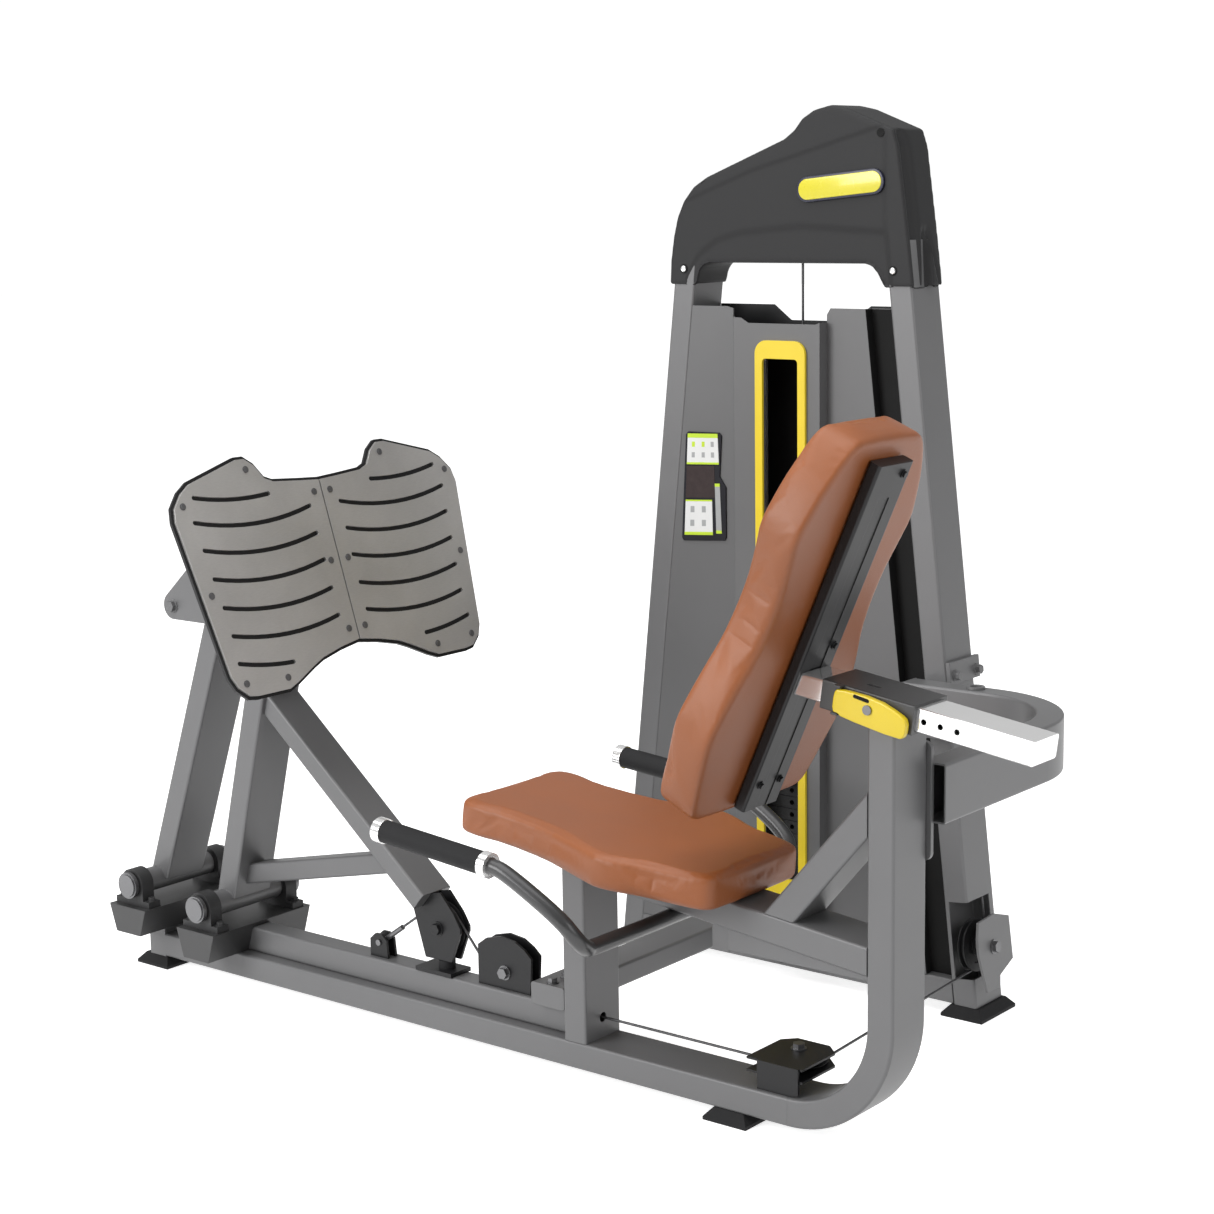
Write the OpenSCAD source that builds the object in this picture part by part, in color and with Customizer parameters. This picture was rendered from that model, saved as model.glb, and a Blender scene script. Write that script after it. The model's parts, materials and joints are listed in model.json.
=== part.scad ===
// Leg press machine: seated press with a swinging foot plate, a four-bar link, a cable drive and a shrouded
// weight stack. +X points to the rear, behind the user, +Y to the weight tower and +Z up. Every module is
// written from one datum: the front face of the rear upright, the middle plane of the seat and the floor.

/* [Tubes] */
// Width of the main tubes across the machine
tube_w = 100; // [98:1:102]
// Thickness of the main tubes
tube_t = 50; // [49:0.5:51]
// Wall of every tube
wall = 3; // [2:0.5:4]
// Height of the rubber feet, which is where the frame starts
pad_h = 22; // [20:1:24]

/* [Base] */
// Front end of the base, forwards of the upright
base_front = 1752; // [1745:1:1760]
// Outer radius of the bend from the base into the upright
bend_r = 205; // [195:1:210]
// Spacing of the two link shafts along the base
shaft_gap = 202; // [200:1:204]

/* [Press linkage] */
// Travel of the press arm, in degrees
press_travel = 34; // [20:1:34]
// Slope of the foot plate from upright, in degrees
plate_tilt = 17.64; // [14:0.2:20]
// Half width of the foot plate
plate_half_w = 370; // [350:5:380]
// Height of the foot plate's lower inner corner above the floor
plate_z = 740; // [738:1:742]

/* [Seat and backrest] */
// Upward slope of the seat towards its front, in degrees
seat_slope = 6.18; // [5.8:0.1:6.4]
// Thickness of the seat cushion
seat_t = 62; // [50:1:62]
// Lean of the backrest from upright, in degrees
back_lean = 24.14; // [22:0.5:26]
// Height of the backrest along its face
back_h = 700; // [680:5:720]
// Thickness of the backrest cushion
back_t = 82; // [60:1:84]
// Fall of the slide rail towards the rear, in degrees
rail_fall = 8; // [7:0.2:9]
// Rear end of the slide rail behind the upright's front face
rail_end = 290; // [270:5:300]

/* [Tower] */
// Near face of the tower legs, sideways from the seat's middle
tower_y = 645; // [640:1:650]
// Distance along the base from the upright's front face to the middle of the stack
stack_back = 622; // [620:1:624]
// Inward lean of each tower leg, in degrees
leg_lean = 6.42; // [6.3:0.02:6.5]
// Height of the tower legs
leg_top = 1470; // [1460:1:1475]
// Number of weight plates
plate_count = 20; // [12:1:22]
// Number of plates that the pin lifts
lift_count = 8; // [1:1:10]
// Spacing of the weight plates
plate_pitch = 25; // [22:1:25]

/* [Cable] */
// Diameter of the steel cable
cable_d = 5; // [4:0.5:6]
// Radius of the cable's path round every pulley
pulley_r = 44; // [42:1:46]

/* [Hidden] */
$fn = 64;
edge_r = 5;
gap = 0.3;
run_fit = 0.05;
panel_t = 3;

frame_grey = "#8c8c8c";
black = "#1c1c1c";
charcoal = "#535353";
leather = "#b5714a";
yellow = "#f5e83c";
alloy = "#a39d94";
chrome = "#d8d8d8";
steel = "#b0b0b0";

pad_front_x = -base_front - 29;
tower_mid_y = tower_y + tube_w / 2;
tower_pad_half = 65;
backing_edge = 6;
origin_x = (pad_front_x + rail_end) / 2;
origin_y = (tower_mid_y + tower_pad_half - plate_half_w - backing_edge) / 2;

beam_top = pad_h + tube_t;
bend_x = tube_t - bend_r;
bend_z = pad_h + bend_r;
post_x = -base_front + 47;

// Pivots in the XZ plane: the lower shafts, and the upper pins one equal link above each of them
link_rise = [101, 578];
rear_pivot = [-1518, 175];
front_pivot = rear_pivot + [-shaft_gap, 15];
rear_pin = rear_pivot + link_rise;
front_pin = front_pivot + link_rise;
shaft_r = 15;
hub_r = 24;
pin_r = 10;
hub_half = 84;
block_y = 88;
block_w = 30;
cap_r = 27;
channel_half = 133;
channel_drop = 44;
side_plate_y = 54;
side_plate_t = 8;

// Centre lines of the press arm's tubes
arm_low = rear_pivot;
arm_high = rear_pivot + 634 * [sin(14), cos(14)];
diag_low = [-996, 260];
diag_high = [-1420, 618];
diag_t = 40;
diag_w = 80;
strut_low = [-1500, 225];
strut_high = [-1060, 322.4];
link_low = front_pivot + [3, 0];
link_high = [-1507, 770];

// Seat rail, brace and slide rail
seat_tan = tan(seat_slope);
rail_z0 = 363;
rail_front = -495;
seat_z0 = rail_z0 + 2.5 + seat_t / cos(seat_slope);
slide_w = 80;
slide_h = 40;
slide_fit = 0.4;
slide_top = 778;
slide_mid = [0, slide_top - slide_h / 2 / cos(rail_fall)];
housing_w = 100;
housing_h = 49;
housing_front = -88;
housing_rear = 84;
hole_pitch = 30;
lever_pivot = [-53, -housing_w / 2 - 6.75];
lock_x = 8;

// Foot of the backrest's rear face, in the XZ plane
back_foot = [-268.7, 545];
channel_t = 22;
back_plate_y = 50;

// Tower
lean_tan = tan(leg_lean);
leg_base = 405;
shroud_y = tower_y;
bulge = 25;
window_half = 41;
window_frame_w = 17;
window_low = 215;
window_high = 1245;
shroud_low = 70;
rod_x = 95;
rod_r = 10;
stack_z = 100;
plate_size = [290, 84];
stem_r = 12;
pin_y = tower_mid_y - plate_size[1] / 2;
pin_z = stack_z + (plate_count - lift_count + 0.5) * plate_pitch;
stack_top = stack_z + plate_count * plate_pitch;
rod_beam_z = 1262;
cover_half = 54.5;
cover_t = 4;

// Pulleys
wheel_r = pulley_r + 6;
wheel_t = 14;
axle_r = 8;
cable_z = 110;
arm_axle = [-970, 208];
fixed_axle = [-805, cable_z + pulley_r];
anchor = [-1127, 151];
corner_x = -195;
tower_wheel = [-214, 668, 96 + pulley_r];
top_z = 1521;
front_top_x = -stack_back + pulley_r;
lift_point = [tower_wheel[0] - (top_z + 5 - tower_wheel[2]) * lean_tan, top_z + 5];
rear_top = lift_point - pulley_r * [cos(leg_lean), sin(leg_lean)];
exit_angle = 95.8;

// ---- Helpers ----

// Moves the datum's drawing to the part's own origin, the middle of its underside
module placed()
{
    translate([-origin_x, -origin_y, 0]) children();
}

// Rectangle with true round corners, centred
module soft_rect(w, h, r = edge_r)
{
    square([w - 2 * r, h], center = true);
    square([w, h - 2 * r], center = true);
    for (x = [-1, 1], y = [-1, 1])
        translate([x * (w / 2 - r), y * (h / 2 - r)]) circle(r);
}

// Tube along +X from the origin: w in Y, h in Z, with a closed end where caps says so
module hollow_bar(len, w, h, caps = [true, true])
{
    from = caps[0] ? wall : -1;
    to = caps[1] ? len - wall : len + 1;
    rotate([90, 0, 90]) difference() {
        linear_extrude(len) soft_rect(w, h);
        translate([0, 0, from]) linear_extrude(to - from)
            soft_rect(w - 2 * wall, h - 2 * wall, edge_r - wall + 0.5);
    }
}

// Solid bar of the same outline, used to trim what butts against a tube
module bar(len, w, h)
{
    translate([0, -w / 2, -h / 2]) cube([len, w, h]);
}

// Places children, drawn along +X, on the line from p to q in the XZ plane
module along(p, q, y = 0)
{
    translate([p[0], y, p[1]]) rotate([0, -atan2(q[1] - p[1], q[0] - p[0]), 0]) children();
}

// Plate of a 2D outline in X and Z, from y0 to y1
module slab(y0, y1)
{
    translate([0, y1, 0]) rotate([90, 0, 0]) linear_extrude(y1 - y0) children();
}

// Round bar along Y, centred on the point p of the XZ plane
module cross_rod(p, r, y0, y1)
{
    translate([p[0], y0, p[1]]) rotate([-90, 0, 0]) cylinder(r = r, h = y1 - y0);
}

// Straight round bar between two points in space
module rod(a, b, r)
{
    d = b - a;
    flat = norm([d[0], d[1]]);
    translate(a) rotate([0, atan2(flat, d[2]), atan2(d[1], d[0])]) cylinder(r = r, h = norm(d));
}

function unit(v) = v / norm(v);

// Direction of a path at its point i
function heading_at(p, i) = unit(p[min(i + 1, len(p) - 1)] - p[max(i - 1, 0)]);

// One side vector for each point of a path from i on, turned as little as possible from one to the next
function carry(p, i, u) =
    let (t = heading_at(p, i), n = unit(u - (u * t) * t))
    i == len(p) - 1 ? [n] : concat([n], carry(p, i + 1, n));

// Path with its corners cut once; its ends stay
function cut_corners(p) = concat([p[0]],
    [for (i = [0:len(p) - 2], t = [0.25, 0.75])
        if (!(i == 0 && t == 0.25) && !(i == len(p) - 2 && t == 0.75)) p[i] + t * (p[i + 1] - p[i])],
    [p[len(p) - 1]]);

// Round tube swept along a path
module sweep(path, r, sides)
{
    rings = len(path);
    n = carry(path, 0, [0.1, 0.2, 1]);
    points = [for (i = [0:rings - 1], k = [0:sides - 1])
        let (a = 360 * k / sides, t = heading_at(path, i))
        path[i] + r * (cos(a) * n[i] + sin(a) * cross(t, n[i]))];
    walls = [for (i = [0:rings - 2], k = [0:sides - 1])
        let (j = (k + 1) % sides, a = i * sides, b = a + sides)
        each [[a + k, b + k, b + j], [a + k, b + j, a + j]]];
    ends = [[for (k = [0:sides - 1]) k], [for (k = [sides - 1:-1:0]) (rings - 1) * sides + k]];
    polyhedron(points, concat(walls, ends));
}

// Grooved wheel about Z, centred, with a bore that runs on its axle
module wheel()
{
    groove = cable_d / 2 + 1;
    difference() {
        rotate_extrude() difference() {
            translate([axle_r + run_fit, -wheel_t / 2]) square([wheel_r - axle_r - run_fit, wheel_t]);
            translate([pulley_r, 0]) circle(groove);
            polygon([[pulley_r, -groove], [wheel_r + 1, -groove - 2], [wheel_r + 1, groove + 2],
                [pulley_r, groove]]);
            for (s = [-1, 1])
                translate([(pulley_r + axle_r) / 2, s * wheel_t / 2]) square([14, 5], center = true);
        }
    }
}

// Hexagon bolt head with its washer, drawn up +Z
module bolt_head(r = 9, h = 7)
{
    cylinder(r = r * 1.25, h = 2);
    translate([0, 0, 2 - 0.01]) cylinder(r = r, h = h, $fn = 6);
}

// ---- Base frame ----

module base_beam()
{
    color(frame_grey) placed() {
        translate([post_x, 0, pad_h + tube_t / 2])
            hollow_bar(bend_x - post_x, tube_w, tube_t, [true, false]);
        translate([-base_front, -tube_w / 2, pad_h]) difference() {
            cube([post_x + base_front, tube_w, 68]);
            translate([wall, wall, wall]) cube([post_x + base_front - 2 * wall, tube_w - 2 * wall, 68]);
        }
    }
}

// Underside of the rail housing, as everything above it
module above_housing_floor()
{
    along([0, slide_mid[1]], [cos(rail_fall), slide_mid[1] - sin(rail_fall)])
        translate([-300, -200, -housing_h / 2]) cube([600, 400, 300]);
}

module bent_section(w, h, r)
{
    translate([bend_x, 0, bend_z]) rotate([90, 0, 0]) rotate([0, 0, -90]) rotate_extrude(angle = 90, $fn = 96)
        translate([bend_r - tube_t / 2, 0]) soft_rect(h, w, r);
    translate([tube_t / 2, 0, bend_z]) linear_extrude(600) soft_rect(h, w, r);
}

module upright()
{
    color(frame_grey) placed() difference() {
        bent_section(tube_w, tube_t, edge_r);
        bent_section(tube_w - 2 * wall, tube_t - 2 * wall, edge_r - wall + 0.5);
        above_housing_floor();
    }
}

channel_taper = 18;

// Cross section of a shaft channel, w wide on top and h high, hanging from its top edge
module channel_outline(w, h, t = 0)
{
    polygon([[-w / 2 + t, -t], [w / 2 - t, -t], [w / 2 - channel_taper - t, -h + t],
        [-w / 2 + channel_taper + t, -h + t]]);
}

module shaft_channel(p, h)
{
    w = 108;
    translate([p[0], 0, p[1] - channel_drop]) difference() {
        slab(-channel_half, channel_half) channel_outline(w, h);
        slab(-channel_half + 4, channel_half - 4) channel_outline(w, h, 4);
        translate([-16, tube_w / 2 + 4, -h - 1]) cube([32, channel_half - tube_w / 2 - 10, 10]);
    }
}

module shaft_channels()
{
    color(frame_grey) placed() {
        shaft_channel(front_pivot, front_pivot[1] - channel_drop - pad_h - 68);
        shaft_channel(rear_pivot, rear_pivot[1] - channel_drop - beam_top);
    }
}

module upper_tube()
{
    start = rear_pivot[0] + 36;
    color(frame_grey) placed() difference() {
        translate([start, 0, beam_top + tube_t / 2]) hollow_bar(-638 - start, tube_t, tube_t, [false, true]);
        translate([rear_pivot[0], 0, rear_pivot[1] - channel_drop])
            slab(-channel_half, channel_half) channel_outline(108, rear_pivot[1] - channel_drop - beam_top);
        translate([fixed_axle[0] - 46, -9, cable_z]) cube([92, 18, 30]);
        translate([-650, 0, cable_z]) rotate([0, 90, 0]) cylinder(r = 6, h = 20);
    }
}

module bearing_block()
{
    difference() {
        union() {
            slab(0, block_w) {
                circle(32);
                translate([-32, -channel_drop]) square([64, channel_drop]);
                translate([-50, -channel_drop]) square([100, 13]);
            }
            translate([0, -4, 0]) rotate([-90, 0, 0]) cylinder(r = 23, h = block_w + 8);
        }
        cross_rod([0, 0], shaft_r + 0.02, -10, block_w + 10);
    }
    for (x = [-42, 42])
        translate([x, block_w / 2, -channel_drop + 13]) bolt_head(7, 6);
}

module bearing_blocks()
{
    color("#6e6e6e") placed() for (p = [front_pivot, rear_pivot], s = [-1, 1])
        translate([p[0], s * (block_y + block_w / 2) - block_w / 2, p[1]]) bearing_block();
}

module link_shafts()
{
    end = block_y + block_w + 4.5;
    color(steel) placed() for (p = [front_pivot, rear_pivot]) {
        cross_rod(p, shaft_r, -end, end);
        for (s = [-1, 1]) {
            cross_rod(p, cap_r, s > 0 ? end : -end - 8, s > 0 ? end + 8 : -end);
            cross_rod(p, cap_r - 4, s > 0 ? end + 8 : -end - 11, s > 0 ? end + 11 : -end - 8);
        }
    }
}

post_mid = -612;

module seat_post()
{
    top = seat_z0 - seat_t / cos(seat_slope) - post_mid * seat_tan;
    color(frame_grey) placed() difference() {
        translate([post_mid, 0, beam_top]) rotate([0, -90, 0])
            hollow_bar(top + 20 - beam_top, tube_w, tube_t, [false, false]);
        under_seat(-1);
        translate([post_mid - 40, 0, cable_z]) rotate([0, 90, 0]) cylinder(r = 9, h = 80);
    }
}

// Everything above the plane of the seat's underside, raised by dz
module under_seat(dz)
{
    translate([0, 0, seat_z0 - seat_t / cos(seat_slope) + dz]) rotate([0, seat_slope, 0])
        translate([-1200, -300, 0]) cube([1400, 600, 300]);
}

module cross_beam()
{
    h = 42;
    mid = post_mid - tube_t / 2 - 41;
    color(frame_grey) placed() {
        translate([mid, -45, beam_top + tube_t + h / 2]) rotate([0, 0, 90])
            hollow_bar(tower_y + 45 - 8, 77, h, [true, false]);
        translate([mid - 38.5, tower_y - 8, pad_h + 8]) cube([77, 8, beam_top + tube_t + h - pad_h - 8]);
    }
}

// The two tubes that carry the seat, as plain solids for trimming
module rail_solid(extra = 0)
{
    translate([0, 0, rail_z0]) rotate([0, seat_slope, 0])
        translate([rail_front - 60, -tube_w / 2 - extra, -tube_t]) cube([620, tube_w + 2 * extra, tube_t]);
}

module seat_rail()
{
    color(frame_grey) placed() {
        difference() {
            translate([0, 0, rail_z0]) rotate([0, seat_slope, 0]) translate([rail_front, 0, -tube_t / 2])
                hollow_bar(-rail_front + 20, tube_w, tube_t, [true, false]);
            translate([0, -100, 200]) cube([60, 200, 300]);
        }
        difference() {
            slab(-42, 42) polygon([[0, rail_z0 - 59], [-280, rail_z0 - 59], [-280, rail_z0 - 10],
                [0, rail_z0 - 10]]);
            rail_solid();
        }
        translate([-318, -34, rail_z0 - 66]) difference() {
            cube([34, 68, 45]);
            translate([-1, 6, -1]) cube([36, 56, 37]);
        }
    }
}

module seat_brace()
{
    high = [0, 582];
    low = [-172, 381.7];
    reach = 40;
    d = (high - low) / norm(high - low);
    color(frame_grey) placed() difference() {
        along(low - reach * d, high + reach * d)
            hollow_bar(norm(high - low) + 2 * reach, tube_w, tube_t, [false, false]);
        translate([0, -100, 300]) cube([150, 200, 500]);
        rail_solid(1);
        translate([0, 0, rail_z0]) rotate([0, seat_slope, 0]) translate([-500, -100, -120])
            cube([620, 200, 120]);
    }
}

// Half outline of the seat: distance from the front edge and half width there
seat_front = -815;
seat_half = [[0, 105], [6, 128], [22, 145], [60, 149], [115, 140], [215, 149], [275, 166], [332, 183],
    [359, 190], [396, 183], [444, 163], [498, 152], [540, 142], [558, 130], [565, 108]];

module seat_cushion()
{
    half = [for (p = seat_half) [seat_front + p[0], p[1]]];
    far = [for (i = [len(half) - 1:-1:0]) [half[i][0], -half[i][1]]];
    color(leather) placed() translate([0, 0, seat_z0 - seat_t / cos(seat_slope)]) rotate([0, seat_slope, 0])
        linear_extrude(seat_t) polygon(concat(half, far));
}

// ---- Handles ----

grip_y = 332;
handle_r = 14;
grip_front = [-790, 494.6];
grip_back = [-565, 474.4];
handle_path = [[-800, grip_y, 495.5], [-560, grip_y, 473.9], [-550, grip_y, 473], [-521, grip_y, 468],
    [-412, 324, 406],
    [-390, 308, 369], [-392, 284, 348], [-401, 258, 341], [-401, 0, 341]];

module handle_bar()
{
    count = len(handle_path);
    left = [for (i = [count - 2:-1:0]) [handle_path[i][0], -handle_path[i][1], handle_path[i][2]]];
    color("#77787a") placed()
        sweep(cut_corners(cut_corners(concat(handle_path, left))), handle_r, 20);
}

// Ring on the handle from a to b of the grip line, in millimetres from the grip's front end
module grip_ring(a, b, r, bore = true)
{
    for (s = [-1, 1])
        along(grip_front, grip_back, s * grip_y) translate([a, 0, 0]) rotate([0, 90, 0]) difference() {
            cylinder(r = r, h = b - a);
            if (bore)
                translate([0, 0, -1]) cylinder(r = handle_r + 0.1, h = b - a + 2);
        }
}

module hand_grips()
{
    color(black) placed() grip_ring(2, 224, 20);
}

module grip_fittings()
{
    color(chrome) placed() {
        grip_ring(-10.5, 2, 22);
        grip_ring(-16, -10.5, 22, false);
        grip_ring(224, 240, 22);
    }
}

// ---- Rail housing ----

// Children drawn along the slide rail, with x = 0 above the datum
module on_rail()
{
    along(slide_mid, slide_mid + [cos(rail_fall), -sin(rail_fall)]) children();
}

module rail_housing()
{
    color(frame_grey) placed() on_rail() difference() {
        translate([housing_front, 0, 0]) rotate([90, 0, 90]) linear_extrude(housing_rear - housing_front)
            difference() {
                soft_rect(housing_w, housing_h, 3);
                soft_rect(slide_w + 2 * slide_fit, slide_h + 2 * slide_fit, 4);
            }
        translate([lock_x, -housing_w / 2 - 1, 0]) rotate([-90, 0, 0]) cylinder(r = 5, h = 20);
        for (x = [-24, -8])
            translate([x, -10, 10]) cylinder(r = 5, h = 30);
        translate([-24, -15, 10]) cube([16, 10, 30]);
    }
    color(frame_grey) placed() on_rail() {
        for (z = [-housing_h / 2, housing_h / 2 - 3.8])
            translate([lever_pivot[0] - 6, -housing_w / 2 - 12.5, z]) cube([12, 13, 3.8]);
        translate([lever_pivot[0], lever_pivot[1], -housing_h / 2 + 1]) cylinder(r = 3, h = housing_h - 2);
    }
}

module release_lever()
{
    color(yellow) placed() on_rail() difference() {
        slab(-housing_w / 2 - 12.5, -housing_w / 2 - 1)
            polygon([[-58, 12], [-52, 20], [20, 21], [66, 8], [80, 0], [80, -26], [70, -33], [-40, -25],
                [-46, -20], [-58, -20]]);
        translate([lock_x, -80, 0]) rotate([-90, 0, 0]) cylinder(r = 6, h = 60);
        translate([lever_pivot[0], lever_pivot[1], -50]) cylinder(r = 3 + run_fit, h = 100);
    }
}

module lock_pin()
{
    color(steel) placed() on_rail() translate([lock_x, 0, 0]) {
        cross_rod([0, 0], 4.95, -housing_w / 2 - 13.2, -slide_w / 2 - slide_fit);
        cross_rod([0, 0], 8, -housing_w / 2 - 15.2, -housing_w / 2 - 13.2);
    }
}

module slide_rail()
{
    start = -190;
    color(chrome) placed() difference() {
        on_rail() difference() {
            translate([start, 0, 0]) hollow_bar(rail_end / cos(rail_fall) - start - 2.8, slide_w, slide_h,
                [false, true]);
            for (i = [-1:5])
                translate([lock_x + i * hole_pitch, -slide_w, 0]) rotate([-90, 0, 0])
                    cylinder(r = 5, h = slide_w);
        }
        on_back() translate([-200, -100, -100]) cube([200 + channel_t + 1, 200, 1000]);
    }
}

// ---- Backrest ----

// Children drawn with x = 0 on the cushion's rear face and z up along it
module on_back()
{
    translate([back_foot[0], 0, back_foot[1]]) rotate([0, back_lean, 0]) children();
}

// Half outline of the backrest: share of its height and half width there
back_half = [[0, 128], [0.006, 152], [0.03, 170], [0.13, 188], [0.2, 200], [0.25, 204], [0.3, 197],
    [0.38, 182], [0.456, 162], [0.533, 154], [0.61, 154], [0.683, 164], [0.76, 176], [0.827, 162],
    [0.886, 147], [0.946, 125], [0.985, 104], [1, 78]];

module back_cushion()
{
    half = [for (p = back_half) [p[1], p[0] * back_h]];
    far = [for (i = [len(half) - 1:-1:0]) [-half[i][0], half[i][1]]];
    color(leather) placed() on_back() translate([-back_t, 0, 0]) rotate([90, 0, 90]) linear_extrude(back_t)
        polygon(concat(half, far));
}

module back_channel()
{
    low = 15;
    high = 0.946 * back_h;
    color(black) placed() on_back() {
        difference() {
            translate([channel_t / 2 + 0.5, 0, low]) rotate([0, -90, 0])
                hollow_bar(high - low, 2 * back_plate_y, channel_t, [false, true]);
            translate([channel_t - 1, -16, low - 1]) cube([10, 32, high - low - 60]);
        }
        for (z = [65, 326, high - 20], y = z < 100 ? [-28, 28] : [30])
            translate([channel_t + 0.5, y, z]) rotate([0, 90, 0]) bolt_head(6, 4);
    }
}

// ---- Connector to the tower ----

connector_z = 605;
connector_r = 223;
connector_x = tube_t + 30;
far_end = -318;

module connector_section(w, h, r)
{
    bend = [connector_x - connector_r, tower_y - 21 - connector_r];
    translate([bend[0], bend[1], connector_z]) rotate_extrude(angle = 90, $fn = 96)
        translate([connector_r - tube_t / 2, 0]) soft_rect(w, h, r);
    translate([connector_x - tube_t / 2, 58, connector_z]) rotate([-90, 0, 0])
        linear_extrude(bend[1] - 58) soft_rect(w, h, r);
    translate([far_end, tower_y - 21 - tube_t / 2, connector_z]) rotate([0, 90, 0])
        linear_extrude(bend[0] - far_end) soft_rect(h, w, r);
}

module corner_connector()
{
    color(frame_grey) placed() {
        difference() {
            connector_section(tube_t, tube_w, edge_r);
            connector_section(tube_t - 2 * wall, tube_w - 2 * wall, edge_r - wall + 0.5);
        }
        slab(tube_w / 2, tube_w / 2 + 8) translate([25, 591]) soft_rect(66, 198, 14);
        translate([far_end, tower_y - 21, connector_z - 44]) cube([62, 21, 88]);
        translate([far_end - 3, tower_y - 21 - tube_t, connector_z - tube_w / 2])
            cube([3, tube_t, tube_w]);
    }
}

// Children drawn in the rear leg's frame: x = 0 on its outer face, z along the leg from the floor
module on_rear_leg()
{
    translate([-stack_back + leg_base, 0, 0]) rotate([0, -leg_lean, 0])
        translate([tube_t / 2, 0, 0]) children();
}

module connector_clamp()
{
    color(frame_grey) placed() {
        on_rear_leg() translate([0, tower_y + 0.2, 645]) cube([9, tube_w + 8, 42]);
        on_rear_leg() for (y = [18, tube_w - 4])
            translate([9, tower_y + y, 660]) rotate([0, 90, 0]) bolt_head(9, 9);
        translate([-177, tower_y - 21 - tube_t / 2, connector_z + tube_w / 2]) difference() {
            cylinder(r = 17, h = 5);
            translate([0, 0, -1]) cylinder(r = 11, h = 7);
        }
    }
}

// ---- Tower ----

// One leg: a leaning tube, cut level at both ends; side is +1 for the rear leg
module tower_leg_tube(side)
{
    run = leg_top + 60;
    intersection() {
        translate([-stack_back + side * leg_base, tower_mid_y, 0]) rotate([0, -side * leg_lean, 0])
            translate([0, 0, -30]) rotate([0, -90, 0]) hollow_bar(run, tube_w, tube_t, [false, false]);
        translate([-1400, tower_y - 50, pad_h]) cube([1600, 300, leg_top - pad_h]);
    }
}

module tower_front_leg()
{
    color(frame_grey) placed() tower_leg_tube(-1);
}

// Outline of the plate that carries the tower pulley's axle, x down the leg and y across it
axle_plate = [[-57, -47], [-61, 13], [-45, 65], [39, 67], [59, 15], [82, 11], [80, -36], [55, -43],
    [2, -56], [-27, -55]];

module tower_rear_leg()
{
    color(frame_grey) placed() {
        difference() {
            tower_leg_tube(1);
            on_rear_leg() translate([-40, tower_y - 10, 76]) cube([60, 92, 150]);
        }
        at_tower_wheel() {
            difference() {
                translate([0, 0, 38]) linear_extrude(5) polygon(axle_plate);
                translate([0, 0, 30]) cylinder(r = axle_r + 0.02, h = 20);
            }
            translate([-44, 61, 5]) cube([82, 5, 34]);
        }
    }
}

// Beam between the legs from z0 to z1, trimmed to their lean
module tower_beam(z0, z1, y0, y1)
{
    reach = leg_base - tube_t / 2;
    difference() {
        translate([-stack_back - reach, (y0 + y1) / 2, (z0 + z1) / 2])
            hollow_bar(2 * reach, y1 - y0, z1 - z0, [false, false]);
        for (s = [-1, 1])
            translate([-stack_back + s * leg_base, tower_mid_y, 0]) rotate([0, -s * leg_lean, 0])
                translate([s > 0 ? -tube_t / 2 : -400, -200, -50]) cube([400 + tube_t / 2, 400, 1700]);
    }
}

module tower_cross_beams()
{
    top = [for (s = [-1, 1]) -stack_back + s * rod_x];
    color(frame_grey) placed() {
        tower_beam(pad_h, shroud_low, tower_y, tower_y + tube_w);
        difference() {
            tower_beam(rod_beam_z, rod_beam_z + 36, tower_y + 30, tower_y + tube_w - 20);
            translate([-stack_back, tower_mid_y, rod_beam_z - 1]) cylinder(r = 8, h = 40);
        }
        difference() {
            tower_beam(leg_top - 40, leg_top, tower_y + 2, tower_y + tube_w - 2);
            translate([-stack_back, tower_mid_y, leg_top - 50]) cylinder(r = 12, h = 60);
            translate([lift_point[0], tower_wheel[1] + pulley_r, leg_top - 50]) cylinder(r = 14, h = 60);
        }
    }
}

module guide_rods()
{
    color(chrome) placed() for (s = [-1, 1])
        translate([-stack_back + s * rod_x, tower_mid_y, shroud_low])
            cylinder(r = rod_r, h = rod_beam_z - shroud_low);
}

// Inner edge of a tower leg at height z, from the stack's middle
function leg_inner(z) = leg_base - tube_t / 2 / cos(leg_lean) - z * lean_tan;

left_fold = 130;
right_fold = 88;
panel_high = 1342;
center_high = 1312;

module shroud_sides()
{
    strip = 55;
    color(frame_grey) placed() translate([-stack_back, 0, 0]) {
        slab(shroud_y, shroud_y + panel_t) polygon([[-leg_inner(shroud_low), shroud_low],
            [-left_fold, shroud_low], [-left_fold, panel_high - 4], [-left_fold - 15, panel_high],
            [-leg_inner(panel_high), panel_high]]);
        slab(shroud_y, shroud_y + panel_t) polygon([[leg_inner(shroud_low) - strip, shroud_low],
            [leg_inner(panel_high) - strip, panel_high], [right_fold + 8, panel_high],
            [right_fold, panel_high - 12], [right_fold, shroud_low]]);
        slab(shroud_y + 22, shroud_y + 22 + panel_t) polygon([[leg_inner(shroud_low), shroud_low],
            [leg_inner(panel_high), panel_high], [leg_inner(panel_high) - strip, panel_high],
            [leg_inner(shroud_low) - strip, shroud_low]]);
        slab(shroud_y + panel_t, shroud_y + 22) polygon([[leg_inner(shroud_low) - strip, shroud_low],
            [leg_inner(panel_high) - strip, panel_high], [leg_inner(panel_high) - strip - panel_t, panel_high],
            [leg_inner(shroud_low) - strip - panel_t, shroud_low]]);
    }
}

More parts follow.
